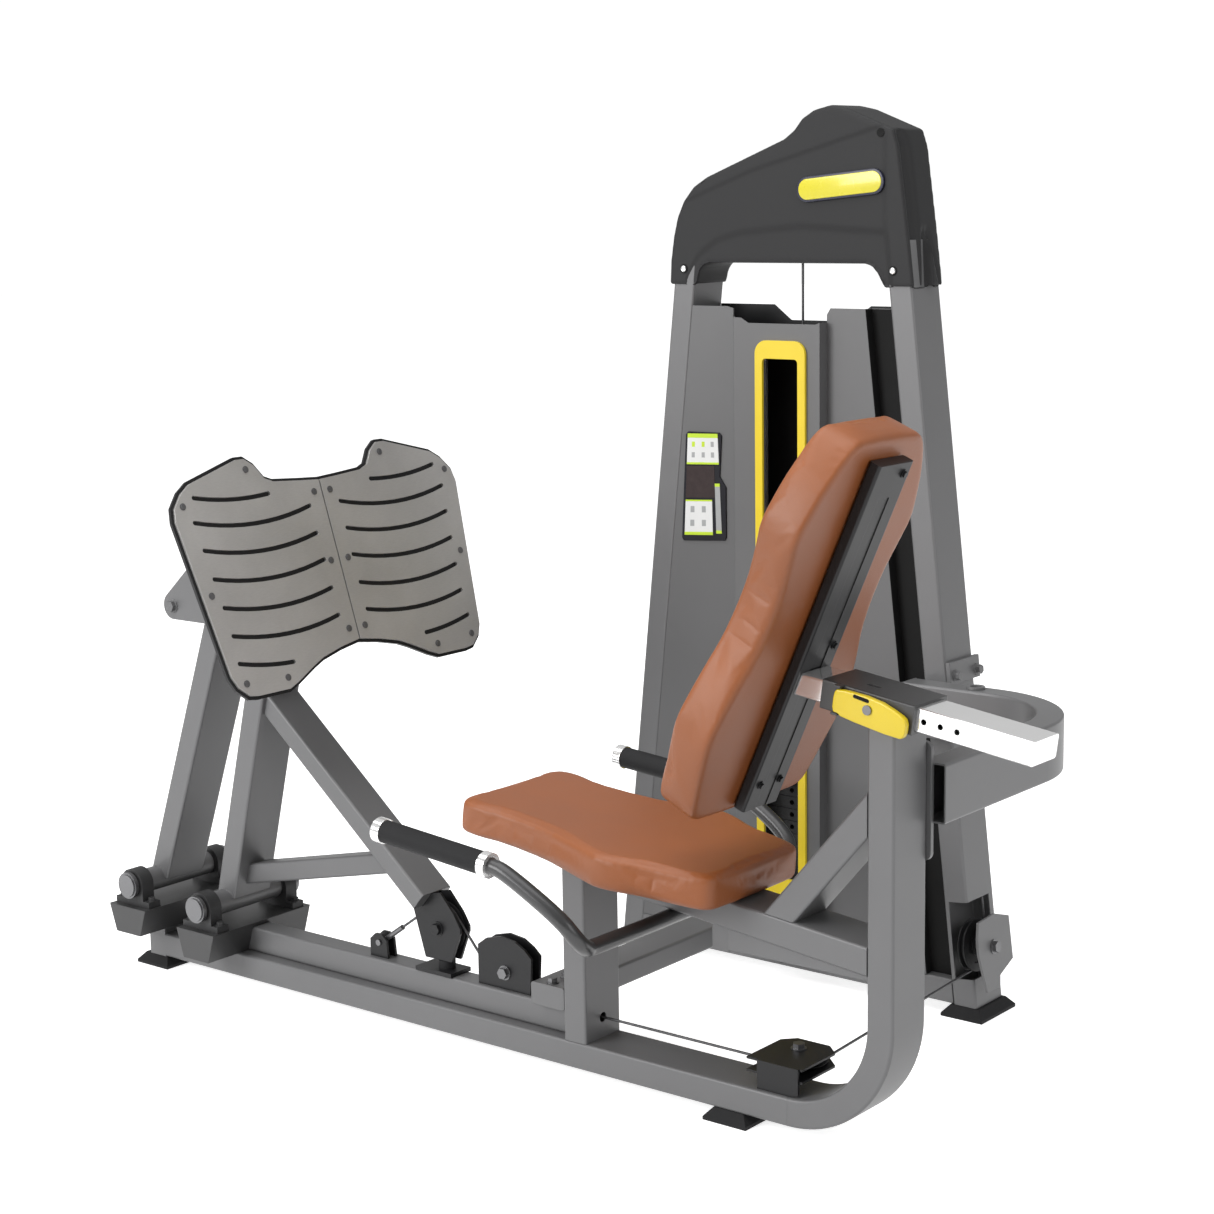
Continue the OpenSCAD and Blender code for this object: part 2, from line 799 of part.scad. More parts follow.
module shroud_center()
{
    color(frame_grey) placed() translate([-stack_back, shroud_y, 0]) difference() {
        translate([0, 0, shroud_low]) linear_extrude(center_high + 10 - shroud_low)
            polygon([[-left_fold, panel_t], [-left_fold, 0], [-left_fold + 18, -bulge], [right_fold, -bulge],
                [right_fold, panel_t], [right_fold - panel_t, panel_t],
                [right_fold - panel_t, panel_t - bulge], [-left_fold + 18 + panel_t / 2, panel_t - bulge],
                [-left_fold + panel_t, panel_t]]);
        slab(-bulge - 1, -bulge + 12) translate([0, (window_low + window_high) / 2])
            soft_rect(2 * window_half, window_high - window_low, 8);
        slab(-bulge - 1, 10) polygon([[-78, center_high], [right_fold - 10, center_high],
            [right_fold + 1, center_high + 4], [right_fold + 1, 1400], [-left_fold - 1, 1400],
            [-left_fold - 1, center_high + 30]]);
        translate([post_mid - tube_t / 2 - 41 + stack_back - 39.5, -bulge - 1, 0]) cube([79, 20, 166]);
    }
}

module shroud_back()
{
    y = tower_y + tube_w - panel_t;
    color(black) placed() translate([-stack_back, 0, 0]) slab(y, y + panel_t)
        polygon([[-leg_inner(shroud_low), shroud_low], [leg_inner(shroud_low), shroud_low],
            [leg_inner(panel_high), panel_high], [125, panel_high], [85, center_high], [-60, center_high],
            [-100, panel_high], [-leg_inner(panel_high), panel_high]]);
}

module window_frame()
{
    outer = 2 * (window_half + window_frame_w);
    mid = (window_low + window_high) / 2;
    color(yellow) placed() translate([-stack_back, shroud_y - bulge - 6, 0]) slab(0, 6 - 0.1)
        translate([0, mid]) difference() {
            soft_rect(outer, window_high - window_low + 70, 26);
            soft_rect(2 * window_half, window_high - window_low, 8);
        }
}

module placard()
{
    color(black) placed() slab(shroud_y - 3, shroud_y - 0.1) {
        polygon([[-876, 871], [-775, 878], [-771, 884], [-771, 985], [-786, 1006], [-781, 1087], [-787, 1093],
            [-862, 1092], [-868, 1086], [-880, 877]]);
    }
}

// Side view of the top cover: the outer edge from the front foot over the ridge to the rear foot
cover_outer = [[-905, 1382], [-902, 1430], [-895, 1475], [-885, 1514], [-869, 1546], [-845, 1573],
    [-812, 1592], [-630, 1660], [-607, 1676], [-589, 1697], [-562, 1712], [-524, 1720], [-487, 1712],
    [-386, 1672], [-375, 1640], [-353, 1480], [-341, 1382]];
cover_arch = [[-406, 1382], [-421, 1408], [-433, 1421], [-449, 1426], [-809, 1426], [-825, 1421],
    [-834, 1408], [-841, 1382]];

module cover_shell(y0, y1, open_side)
{
    difference() {
        slab(y0, y1) polygon(concat(cover_outer, cover_arch));
        slab(open_side < 0 ? y0 - 1 : y0 + cover_t, open_side < 0 ? y1 - cover_t : y1 + 1) {
            offset(delta = -cover_t) polygon(concat(cover_outer, cover_arch));
            for (x = [-901, -401])
                translate([x, 1370]) square([56, 40]);
        }
        translate([-stack_back, tower_mid_y, 1400]) cylinder(r = 14, h = 50);
    }
}

module top_cover_near()
{
    color(charcoal) placed() cover_shell(tower_mid_y - cover_half, tower_mid_y - 0.1, 1);
}

module top_cover_far()
{
    color(charcoal) placed() cover_shell(tower_mid_y + 0.1, tower_mid_y + cover_half, -1);
}

module badge()
{
    color(yellow) placed() slab(tower_mid_y - cover_half - 4, tower_mid_y - cover_half - 0.1)
        translate([-501, 1571]) rotate(5) soft_rect(194, 48, 23.9);
}

// ---- Feet ----

module foot_pad(x0, x1, y0, y1)
{
    bevel = 14;
    intersection() {
        slab(y0, y1) polygon([[x0, 0], [x1, 0], [x1, 6], [x1 - bevel, pad_h], [x0 + bevel, pad_h], [x0, 6]]);
        translate([x0, 0, 0]) rotate([90, 0, 90]) linear_extrude(x1 - x0)
            polygon([[y0, 0], [y1, 0], [y1, 6], [y1 - bevel, pad_h], [y0 + bevel, pad_h], [y0, 6]]);
    }
}

module foot_pads()
{
    color(black) placed() {
        foot_pad(pad_front_x, pad_front_x + 92, -62, 62);
        foot_pad(-322, -232, -62, 62);
        for (s = [-1, 1])
            foot_pad(-stack_back + s * leg_base - 47, -stack_back + s * leg_base + 43,
                tower_mid_y - tower_pad_half, tower_mid_y + tower_pad_half);
    }
}

// ---- Weight stack ----

// One weight plate with its stem, rod and pin holes, its underside at z
module weight_plate(z)
{
    translate([-stack_back, tower_mid_y, z]) difference() {
        translate([-plate_size[0] / 2, -plate_size[1] / 2, 0])
            cube([plate_size[0], plate_size[1], plate_pitch - 1]);
        for (s = [-1, 1])
            translate([s * rod_x, 0, -1]) cylinder(r = rod_r + 0.08, h = plate_pitch + 2);
        translate([0, 0, -1]) cylinder(r = stem_r + gap, h = plate_pitch + 2);
        translate([0, -plate_size[1], plate_pitch / 2 - 0.5]) rotate([-90, 0, 0])
            cylinder(r = 5, h = plate_size[1] + 18);
    }
}

module resting_plates()
{
    color("#3a3a3a") placed() for (i = [0:plate_count - lift_count - 1])
        weight_plate(stack_z + i * plate_pitch);
}

module lifted_plates()
{
    color("#3a3a3a") placed() for (i = [plate_count - lift_count:plate_count - 1])
        weight_plate(stack_z + i * plate_pitch);
}

module selector_stem()
{
    low = stack_z + 6;
    color(steel) placed() translate([-stack_back, tower_mid_y, 0]) difference() {
        union() {
            translate([0, 0, low]) cylinder(r = stem_r, h = stack_top - low);
            translate([0, 0, stack_top]) cylinder(r = 22, h = 26);
            translate([0, 0, stack_top + 26]) cylinder(r = 9, h = 20);
        }
        for (i = [0:plate_count - 1])
            translate([0, -40, stack_z + i * plate_pitch + plate_pitch / 2 - 0.5]) rotate([-90, 0, 0])
                cylinder(r = 4.55, h = 80);
    }
}

module selector_pin()
{
    knob = pin_y - 13;
    color(black) placed() {
        cross_rod([-stack_back, pin_z - 0.5], 4.5, knob, tower_mid_y + stem_r + 4);
        cross_rod([-stack_back, pin_z - 0.5], 12, knob - 18, knob);
        cross_rod([-stack_back, pin_z - 0.5], 9, knob, pin_y - 1);
    }
}

module stack_cable()
{
    low = stack_top + 46;
    color(black) placed() translate([-stack_back, tower_mid_y, low]) cylinder(d = cable_d, h = top_z - low);
}

module rubber_bumpers()
{
    color(black) placed() {
        for (s = [-1, 1])
            translate([-stack_back + s * rod_x, tower_mid_y, shroud_low]) difference() {
                cylinder(r = 20, h = stack_z - shroud_low - 0.5);
                translate([0, 0, -1]) cylinder(r = rod_r + 0.02, h = 40);
            }
        translate([-962, 0, beam_top + tube_t + 8]) cylinder(r = 16, h = 147 - beam_top - tube_t - 8.5);
    }
}

// ---- Pulley brackets and anchor ----

fixed_plate = [[-870, 122], [-870, 197], [-850, 212], [-815, 221], [-780, 217], [-757, 205], [-741, 191],
    [-745, 122]];
bracket_in = 10;
bracket_t = 5;

module fixed_bracket()
{
    for (s = [-1, 1])
        difference() {
            slab(s > 0 ? bracket_in : -bracket_in - bracket_t, s > 0 ? bracket_in + bracket_t : -bracket_in)
                polygon(fixed_plate);
            cross_rod(fixed_axle, axle_r + 0.02, -30, 30);
        }
}

module corner_bracket()
{
    c = [corner_x, pulley_r];
    low = cable_z - wheel_t / 2 - 6;
    high = cable_z + wheel_t / 2 + 2;
    outline = [[-51, -82], [62, -82], [62, 18], [36, 42], [-30, 42], [-51, 20]];
    for (z = [low, high])
        translate([c[0], c[1], z]) difference() {
            linear_extrude(4) polygon(outline);
            translate([0, 0, -1]) cylinder(r = axle_r + 0.02, h = 6);
        }
    slab(c[1] - 86, c[1] - 82) polygon([[c[0] - 27, beam_top], [bend_x - 1, beam_top],
        [c[0] + 56, beam_top + 4], [c[0] + 56, high + 4], [c[0] - 27, high + 4]]);
    translate([c[0] - 20, -36, beam_top]) cube([30, 30, low - beam_top]);
}

// Children drawn about the tower pulley's centre, with z along its axle
module at_tower_wheel()
{
    translate(tower_wheel) rotate([0, -leg_lean, 0]) rotate([0, 90, 0]) children();
}

module tower_bracket()
{
    at_tower_wheel() {
        translate([0, 0, -16]) difference() {
            linear_extrude(4) polygon([[30, -18], [30, 40], [-30, 40], [-30, -18]]);
            translate([0, 0, -1]) cylinder(r = axle_r + 0.02, h = 8);
        }
    }
}

module top_bracket(c, y)
{
    for (s = [-1, 1])
        difference() {
            slab(y + (s > 0 ? bracket_in : -bracket_in - bracket_t),
                y + (s > 0 ? bracket_in + bracket_t : -bracket_in))
                polygon([[c[0] - 20, leg_top], [c[0] + 20, leg_top], [c[0] + 20, c[1] + 20],
                    [c[0] - 20, c[1] + 20]]);
            cross_rod(c, axle_r + 0.02, y - 40, y + 40);
        }
}

module pulley_brackets()
{
    up_y = tower_wheel[1] + pulley_r;
    color("#2b2b2b") placed() {
        fixed_bracket();
        corner_bracket();
        tower_bracket();
        top_bracket(rear_top, up_y);
        top_bracket([front_top_x, top_z], tower_mid_y);
        for (s = [-1, 1])
            difference() {
                slab(s > 0 ? 8 : -13, s > 0 ? 13 : -8) polygon([[-1150, 122], [-1104, 122], [-1108, 158],
                    [-1120, 168], [-1136, 168], [-1150, 156]]);
                cross_rod(anchor, 6.02, -20, 20);
            }
        translate([-1018, -28, beam_top + tube_t]) cube([90, 56, 8]);
    }
}

// Axle with a head at each end, drawn along z and centred
module axle(half)
{
    cylinder(r = axle_r, h = 2 * half, center = true);
    for (s = [0, 1])
        mirror([0, 0, s]) translate([0, 0, half]) bolt_head(11, 8);
}

module frame_bolts()
{
    up_y = tower_wheel[1] + pulley_r;
    side = bracket_in + bracket_t;
    color("#4a4a4a") placed() {
        translate([fixed_axle[0], 0, fixed_axle[1]]) rotate([90, 0, 0]) axle(side);
        translate([corner_x, pulley_r, cable_z - 0.5]) axle(13.5);
        at_tower_wheel() translate([0, 0, 13.5]) axle(29.5);
        translate([rear_top[0], up_y, rear_top[1]]) rotate([90, 0, 0]) axle(side);
        translate([front_top_x, tower_mid_y, top_z]) rotate([90, 0, 0]) axle(side);
        cross_rod(anchor, 6, -16, 16);
        rod([anchor[0], 0, anchor[1]] + 6.5 * unit([ferrule_end[0] - anchor[0], 0, ferrule_end[1] - anchor[1]]),
            [ferrule_end[0], 0, ferrule_end[1]], 5);
        for (y = [-30, 8])
            translate([post_mid - 66, y, beam_top + tube_t + 42]) bolt_head(9, 8);
        for (z = [520, 672], x = [8, 42])
            translate([x, tube_w / 2 + 8, z]) rotate([-90, 0, 0]) bolt_head(7, 6);
    }
}

// ---- Cable ----

// Angle of the line from p to q in the XZ plane
function heading(p, q) = atan2(q[1] - p[1], q[0] - p[0]);

cable_rise = heading(anchor, arm_axle) + asin(pulley_r / norm(arm_axle - anchor));
cable_fall = heading(arm_axle, fixed_axle) - asin(2 * pulley_r / norm(fixed_axle - arm_axle));
ferrule_end = anchor + 64 * [cos(cable_rise), sin(cable_rise)];

// Points of the cable round a pulley in the XZ plane at y, centre c, from angle a to b
function turn(c, y, a, b, steps = 6) =
    [for (i = [0:steps]) let (t = a + (b - a) * i / steps)
        [c[0] + pulley_r * cos(t), y, c[1] + pulley_r * sin(t)]];

// The same round the lower tower pulley, whose plane leans with the leg
function tower_turn(a, b, steps = 6) =
    [for (i = [0:steps]) let (t = a + (b - a) * i / steps, up = pulley_r * sin(t))
        [tower_wheel[0] - up * sin(leg_lean), tower_wheel[1] + pulley_r * cos(t),
            tower_wheel[2] + up * cos(leg_lean)]];

module main_cable()
{
    up_y = tower_wheel[1] + pulley_r;
    corner_turn = [for (i = [0:6]) let (t = -90 + exit_angle * i / 6)
        [corner_x + pulley_r * cos(t), pulley_r + pulley_r * sin(t), cable_z]];
    route = concat(
        [[ferrule_end[0], 0, ferrule_end[1]]],
        turn(arm_axle, 0, cable_rise + 90, cable_fall + 90),
        turn(fixed_axle, 0, cable_fall - 90, -90, 4),
        corner_turn,
        tower_turn(-90, 0),
        turn(rear_top, up_y, leg_lean, 90),
        turn([front_top_x, top_z], tower_mid_y, 90, 180));
    color("#555555") placed() sweep(route, cable_d / 2, 8);
}

module fixed_pulley()
{
    color(black) placed() translate([fixed_axle[0], 0, fixed_axle[1]]) rotate([90, 0, 0]) wheel();
}

module corner_pulley()
{
    color(black) placed() translate([corner_x, pulley_r, cable_z]) wheel();
}

module tower_pulley()
{
    color(black) placed() at_tower_wheel() wheel();
}

module top_pulley_rear()
{
    color(black) placed() translate([rear_top[0], tower_wheel[1] + pulley_r, rear_top[1]])
        rotate([90, 0, 0]) wheel();
}

module top_pulley_front()
{
    color(black) placed() translate([front_top_x, tower_mid_y, top_z]) rotate([90, 0, 0]) wheel();
}

// ---- Press arm ----

// Bored hub across a link at point p
module hub(p, r, half)
{
    cross_rod(p, r, -half, half);
}

module arm_leg_solid()
{
    along(arm_low, arm_high) bar(norm(arm_high - arm_low), tube_w, tube_t);
}

module arm_leg()
{
    start = 14;
    d = (arm_high - arm_low) / norm(arm_high - arm_low);
    color(frame_grey) placed() difference() {
        union() {
            along(arm_low + start * d, arm_high)
                hollow_bar(norm(arm_high - arm_low) - start, tube_w, tube_t, [true, false]);
            hub(rear_pivot, hub_r, hub_half);
            hub(rear_pin, hub_r, tube_w / 2);
            slab(-tube_w / 2, tube_w / 2) polygon([rear_pin + [-20, -14], rear_pin + [10, -60],
                rear_pin + [28, -62], rear_pin + [40, 20], rear_pin + [6, 23]]);
        }
        cross_rod(rear_pivot, shaft_r + run_fit, -100, 100);
        cross_rod(rear_pin, pin_r + run_fit, -100, 100);
    }
}

module diagonal_solid(extra = 0)
{
    along(diag_high, diag_low) bar(norm(diag_low - diag_high), diag_w + extra, diag_t);
}

module arm_diagonal()
{
    color(frame_grey) placed() difference() {
        along(diag_high, diag_low) hollow_bar(norm(diag_low - diag_high), diag_w, diag_t, [false, true]);
        arm_leg_solid();
        slab(-100, 100) polygon([arm_low, arm_high, arm_high - [200, 0], arm_low - [200, 0]]);
    }
}

module arm_brace()
{
    color(frame_grey) placed() difference() {
        along(strut_low, strut_high) hollow_bar(norm(strut_high - strut_low), 44, 40, [false, false]);
        arm_leg_solid();
        slab(-100, 100) polygon([arm_low, arm_high, arm_high - [200, 0], arm_low - [200, 0]]);
        diagonal_solid(10);
        along(diag_high, diag_low) translate([0, -100, 0]) cube([norm(diag_low - diag_high) + 100, 200, 150]);
    }
}

arm_plate = [[-1040, 262], [-1033, 244], [-1003, 147], [-937, 148], [-914, 207], [-914, 217], [-930, 243],
    [-962, 278]];

module arm_pulley_bracket()
{
    color("#2b2b2b") placed() {
        difference() {
            for (s = [-1, 1])
                slab(s > 0 ? bracket_in : -bracket_in - bracket_t,
                    s > 0 ? bracket_in + bracket_t : -bracket_in)
                    polygon(arm_plate);
            diagonal_solid(10);
        }
        translate([arm_axle[0], 0, arm_axle[1]]) rotate([90, 0, 0]) axle(bracket_in + bracket_t);
    }
}

module arm_pulley()
{
    color(black) placed() translate([arm_axle[0], 0, arm_axle[1]]) rotate([90, 0, 0]) wheel();
}

// ---- Front link ----

module front_link_tube()
{
    start = 9;
    d = (link_high - link_low) / norm(link_high - link_low);
    color(frame_grey) placed() difference() {
        union() {
            along(link_low + start * d, link_high)
                hollow_bar(norm(link_high - link_low) - start, tube_w, tube_t, [true, false]);
            hub(front_pivot, hub_r, hub_half);
            hub(front_pin, hub_r, tube_w / 2);
            slab(4 - tube_w / 2, tube_w / 2 - 4) translate(front_pin) translate([0, -17]) square([96, 34]);
        }
        cross_rod(front_pivot, shaft_r + run_fit, -100, 100);
        cross_rod(front_pin, pin_r + gap, -100, 100);
    }
}

// ---- Foot carriage ----

// Children drawn with x out of the foot plate towards the user and z up along the plate
module on_plate()
{
    translate([-1163.5, 0, plate_z]) rotate([0, -plate_tilt, 0]) children();
}

face_t = 5;
backing_t = 6;

module carriage_frame()
{
    nose = 27;
    color(frame_grey) placed() {
        difference() {
            for (s = [-1, 1])
                slab(s > 0 ? side_plate_y : -side_plate_y - side_plate_t,
                    s > 0 ? side_plate_y + side_plate_t : -side_plate_y) {
                    translate(front_pin) circle(nose);
                    polygon([front_pin + [0, -nose], [-1150, front_pin[1] - nose], [-1200, 990], [-1345, 962],
                        front_pin + [42, 74], front_pin + nose * [cos(130), sin(130)]]);
                }
            on_plate() translate([-face_t - backing_t, -200, -200]) cube([200, 400, 700]);
        }
        on_plate() for (v = [70, 235])
            translate([-face_t - backing_t - 24, -300, v - 20]) difference() {
                cube([24, 600, 40]);
                for (s = [-1, 1])
                    translate([-1, 300 + s * (side_plate_y + side_plate_t / 2) - side_plate_t / 2 - 0.1, -1])
                        cube([30, side_plate_t + 0.2, 42]);
            }
        for (p = [front_pin, rear_pin]) {
            cross_rod(p, pin_r, -side_plate_y - side_plate_t, side_plate_y + side_plate_t);
            for (s = [0, 1])
                mirror([0, s, 0]) translate([p[0], side_plate_y + side_plate_t, p[1]]) rotate([-90, 0, 0])
                    bolt_head(11, 8);
        }
    }
}

// Half outline of the foot plate: distance from the middle and height up the plate
plate_half = [[0, 0], [52, -8], [103, -20], [130, -31], [151, -41], [176, -53], [202, -63], [280, -63],
    [300, -60], [322, -42], [333, -20], [370, 270], [365, 295], [343, 320], [318, 336], [196, 369],
    [175, 369], [155, 355], [136, 328], [116, 320], [49, 315], [0, 312]];
seam = 1.5;

module plate_outline()
{
    k = plate_half_w / 370;
    polygon([for (p = plate_half) [p[0] * k, p[1]]]);
}

module plate_backing()
{
    color(black) placed() on_plate() translate([-face_t - backing_t, 0, 0]) rotate([90, 0, 90])
        linear_extrude(backing_t - 0.1) offset(r = backing_edge, $fn = 16) {
            plate_outline();
            mirror([1, 0]) plate_outline();
        }
}

// Grip slots: outer and inner ends, as distance from the middle and height up the plate
slot_ends = [[316, 310, 135, 299], [328, 265, 40, 265], [322, 213, 40, 212], [316, 159, 38, 160],
    [310, 105, 38, 105], [306, 52, 38, 52], [308, 1, 178, -16]];
slot_w = 8.5;

// Outline of a slot along an arc that sags below its chord from a to b, with round ends
function slot_outline(a, b, steps = 10, round = 4) =
    let (chord = norm(b - a),
        sag = 17 * (chord / 285) * (chord / 285),
        r = (chord * chord / 4 + sag * sag) / (2 * sag),
        c = (a + b) / 2 + (r - sag) * [-(a - b)[1], (a - b)[0]] / chord,
        from = atan2(a[1] - c[1], a[0] - c[0]),
        to = atan2(b[1] - c[1], b[0] - c[0]),
        turn = (to - from + 540) % 360 - 180,
        side = turn > 0 ? 1 : -1)
    concat(
        [for (i = [0:steps]) c + (r + slot_w / 2) * dir(from + turn * i / steps)],
        [for (i = [1:round - 1]) b + slot_w / 2 * dir(to + side * 180 * i / round)],
        [for (i = [steps:-1:0]) c + (r - slot_w / 2) * dir(from + turn * i / steps)],
        [for (i = [1:round - 1]) a + slot_w / 2 * dir(from + 180 + side * 180 * i / round)]);

function dir(t) = [cos(t), sin(t)];

module foot_plate_half()
{
    k = plate_half_w / 370;
    difference() {
        intersection() {
            plate_outline();
            translate([seam, -200]) square([600, 700]);
        }
        for (s = slot_ends)
            polygon(slot_outline([s[0] * k, s[1]], [s[2] * k, s[3]]));
    }
}

module left_foot_plate()
{
    color(alloy) placed() on_plate() translate([-face_t, 0, 0]) rotate([90, 0, 90]) linear_extrude(face_t)
        mirror([1, 0]) foot_plate_half();
}

module right_foot_plate()
{
    color(alloy) placed() on_plate() translate([-face_t, 0, 0]) rotate([90, 0, 90]) linear_extrude(face_t)
        foot_plate_half();
}

screw_spots = [[177, 349], [346, 297], [332, 130], [303, -37], [202, -42], [21, 290], [22.7, 156],
    [21.5, 23]];

module plate_screws()
{
    color(steel) placed() on_plate() for (s = [-1, 1], p = screw_spots)
        translate([0.1, s * p[0] * plate_half_w / 370, p[1]]) rotate([0, 90, 0]) {
            cylinder(r = 6.5, h = 1.4);
            translate([0, 0, 1.4]) cylinder(r = 4.5, h = 1);
        }
}

base_beam();
upright();
upper_tube();
shaft_channels();
bearing_blocks();
link_shafts();
seat_post();
cross_beam();
seat_rail();
seat_brace();
seat_cushion();
handle_bar();
hand_grips();
grip_fittings();
rail_housing();
corner_connector();
connector_clamp();
tower_front_leg();
tower_rear_leg();
tower_cross_beams();
guide_rods();
shroud_sides();
shroud_center();
shroud_back();
window_frame();
placard();
top_cover_near();
top_cover_far();
badge();
foot_pads();
resting_plates();
rubber_bumpers();
pulley_brackets();
frame_bolts();
main_cable();
stack_cable();
arm_leg();
arm_diagonal();
arm_brace();
arm_pulley_bracket();
arm_pulley();
front_link_tube();
carriage_frame();
plate_backing();
left_foot_plate();
right_foot_plate();
plate_screws();
back_cushion();
back_channel();
slide_rail();
release_lever();
lock_pin();
lifted_plates();
selector_stem();
selector_pin();
fixed_pulley();
corner_pulley();
tower_pulley();
top_pulley_rear();
top_pulley_front();
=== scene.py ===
import json
import math

import bmesh
import bpy
import numpy as np
from mathutils import Matrix, Vector


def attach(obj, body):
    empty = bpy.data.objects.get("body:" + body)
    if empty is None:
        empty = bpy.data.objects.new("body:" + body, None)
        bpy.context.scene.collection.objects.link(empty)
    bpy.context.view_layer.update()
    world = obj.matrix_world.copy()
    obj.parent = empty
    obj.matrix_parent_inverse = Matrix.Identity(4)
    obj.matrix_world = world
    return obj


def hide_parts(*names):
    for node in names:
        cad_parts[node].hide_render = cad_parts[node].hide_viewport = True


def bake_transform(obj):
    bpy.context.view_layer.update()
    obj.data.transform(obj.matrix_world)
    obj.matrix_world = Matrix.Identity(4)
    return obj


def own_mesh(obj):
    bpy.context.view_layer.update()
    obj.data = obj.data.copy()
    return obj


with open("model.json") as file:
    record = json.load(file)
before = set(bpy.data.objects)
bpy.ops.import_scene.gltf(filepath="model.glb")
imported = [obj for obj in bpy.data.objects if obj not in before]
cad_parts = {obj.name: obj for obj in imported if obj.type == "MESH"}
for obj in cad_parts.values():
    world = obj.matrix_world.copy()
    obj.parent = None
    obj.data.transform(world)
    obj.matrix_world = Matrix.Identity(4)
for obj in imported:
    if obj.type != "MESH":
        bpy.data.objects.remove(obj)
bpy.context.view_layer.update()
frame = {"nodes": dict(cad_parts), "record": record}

NODES = frame["nodes"]

# The datum's place in the row frame, in millimetres
DATUM = (745.5, -192.0, 0.0)
MM = 0.001


def row(x, y, z):
    """A point of the machine's datum, in millimetres, as a point of the row frame in metres."""
    return Vector(((x + DATUM[0]) * MM, (y + DATUM[1]) * MM, (z + DATUM[2]) * MM))


def place(x, y, z, turn=0.0):
    """Matrix from local millimetres to the row frame: turned about Y by degrees, then moved to a point."""
    return (
        Matrix.Translation(row(x, y, z))
        @ Matrix.Rotation(math.radians(turn), 4, "Y")
        @ Matrix.Scale(MM, 4)
    )


# Slopes in degrees, and the slide rail's top face and half height
SEAT_SLOPE, RAIL_SLOPE, BACK_TILT = 6.18, 8, 24.14
RAIL_TOP_Z, RAIL_HALF_H = 778, 20
FLAT = place(0, 0, 0)
SEAT = place(0, 0, 365.5, SEAT_SLOPE)
RAIL = place(0, 0, RAIL_TOP_Z - RAIL_HALF_H / math.cos(math.radians(RAIL_SLOPE)), RAIL_SLOPE)
BACK = place(-268.7, 0, 545, BACK_TILT)
# The tower's middle, where the weight stack stands
STACK_X, MID_Y = -622, 695.0

# ---------------------------------------------------------------- materials


def tree_of(name):
    m = bpy.data.materials.new(name)
    m.use_nodes = True
    nt = m.node_tree
    return m, nt, nt.nodes["Principled BSDF"]


def coords(nt, scale=(1, 1, 1), turn=(0, 0, 0)):
    tc = nt.nodes.new("ShaderNodeTexCoord")
    mp = nt.nodes.new("ShaderNodeMapping")
    mp.inputs["Scale"].default_value = scale
    mp.inputs["Rotation"].default_value = turn
    nt.links.new(tc.outputs["Object"], mp.inputs["Vector"])
    return mp.outputs["Vector"]


def noise(nt, vector, scale, detail=4.0, rough=0.55):
    n = nt.nodes.new("ShaderNodeTexNoise")
    n.inputs["Scale"].default_value = scale
    n.inputs["Detail"].default_value = detail
    n.inputs["Roughness"].default_value = rough
    nt.links.new(vector, n.inputs["Vector"])
    return n.outputs["Fac"]


def ramp(nt, fac, stops):
    r = nt.nodes.new("ShaderNodeValToRGB")
    e = r.color_ramp.elements
    while len(e) < len(stops):
        e.new(0.5)
    for item, (pos, col) in zip(e, stops):
        item.position = pos
        item.color = (*col, 1)
    nt.links.new(fac, r.inputs["Fac"])
    return r.outputs["Color"]


def spread(nt, fac, low, high):
    mr = nt.nodes.new("ShaderNodeMapRange")
    mr.inputs["To Min"].default_value = low
    mr.inputs["To Max"].default_value = high
    nt.links.new(fac, mr.inputs["Value"])
    return mr.outputs["Result"]


def scaled(col, k):
    return tuple(min(1.0, c * k) for c in col)


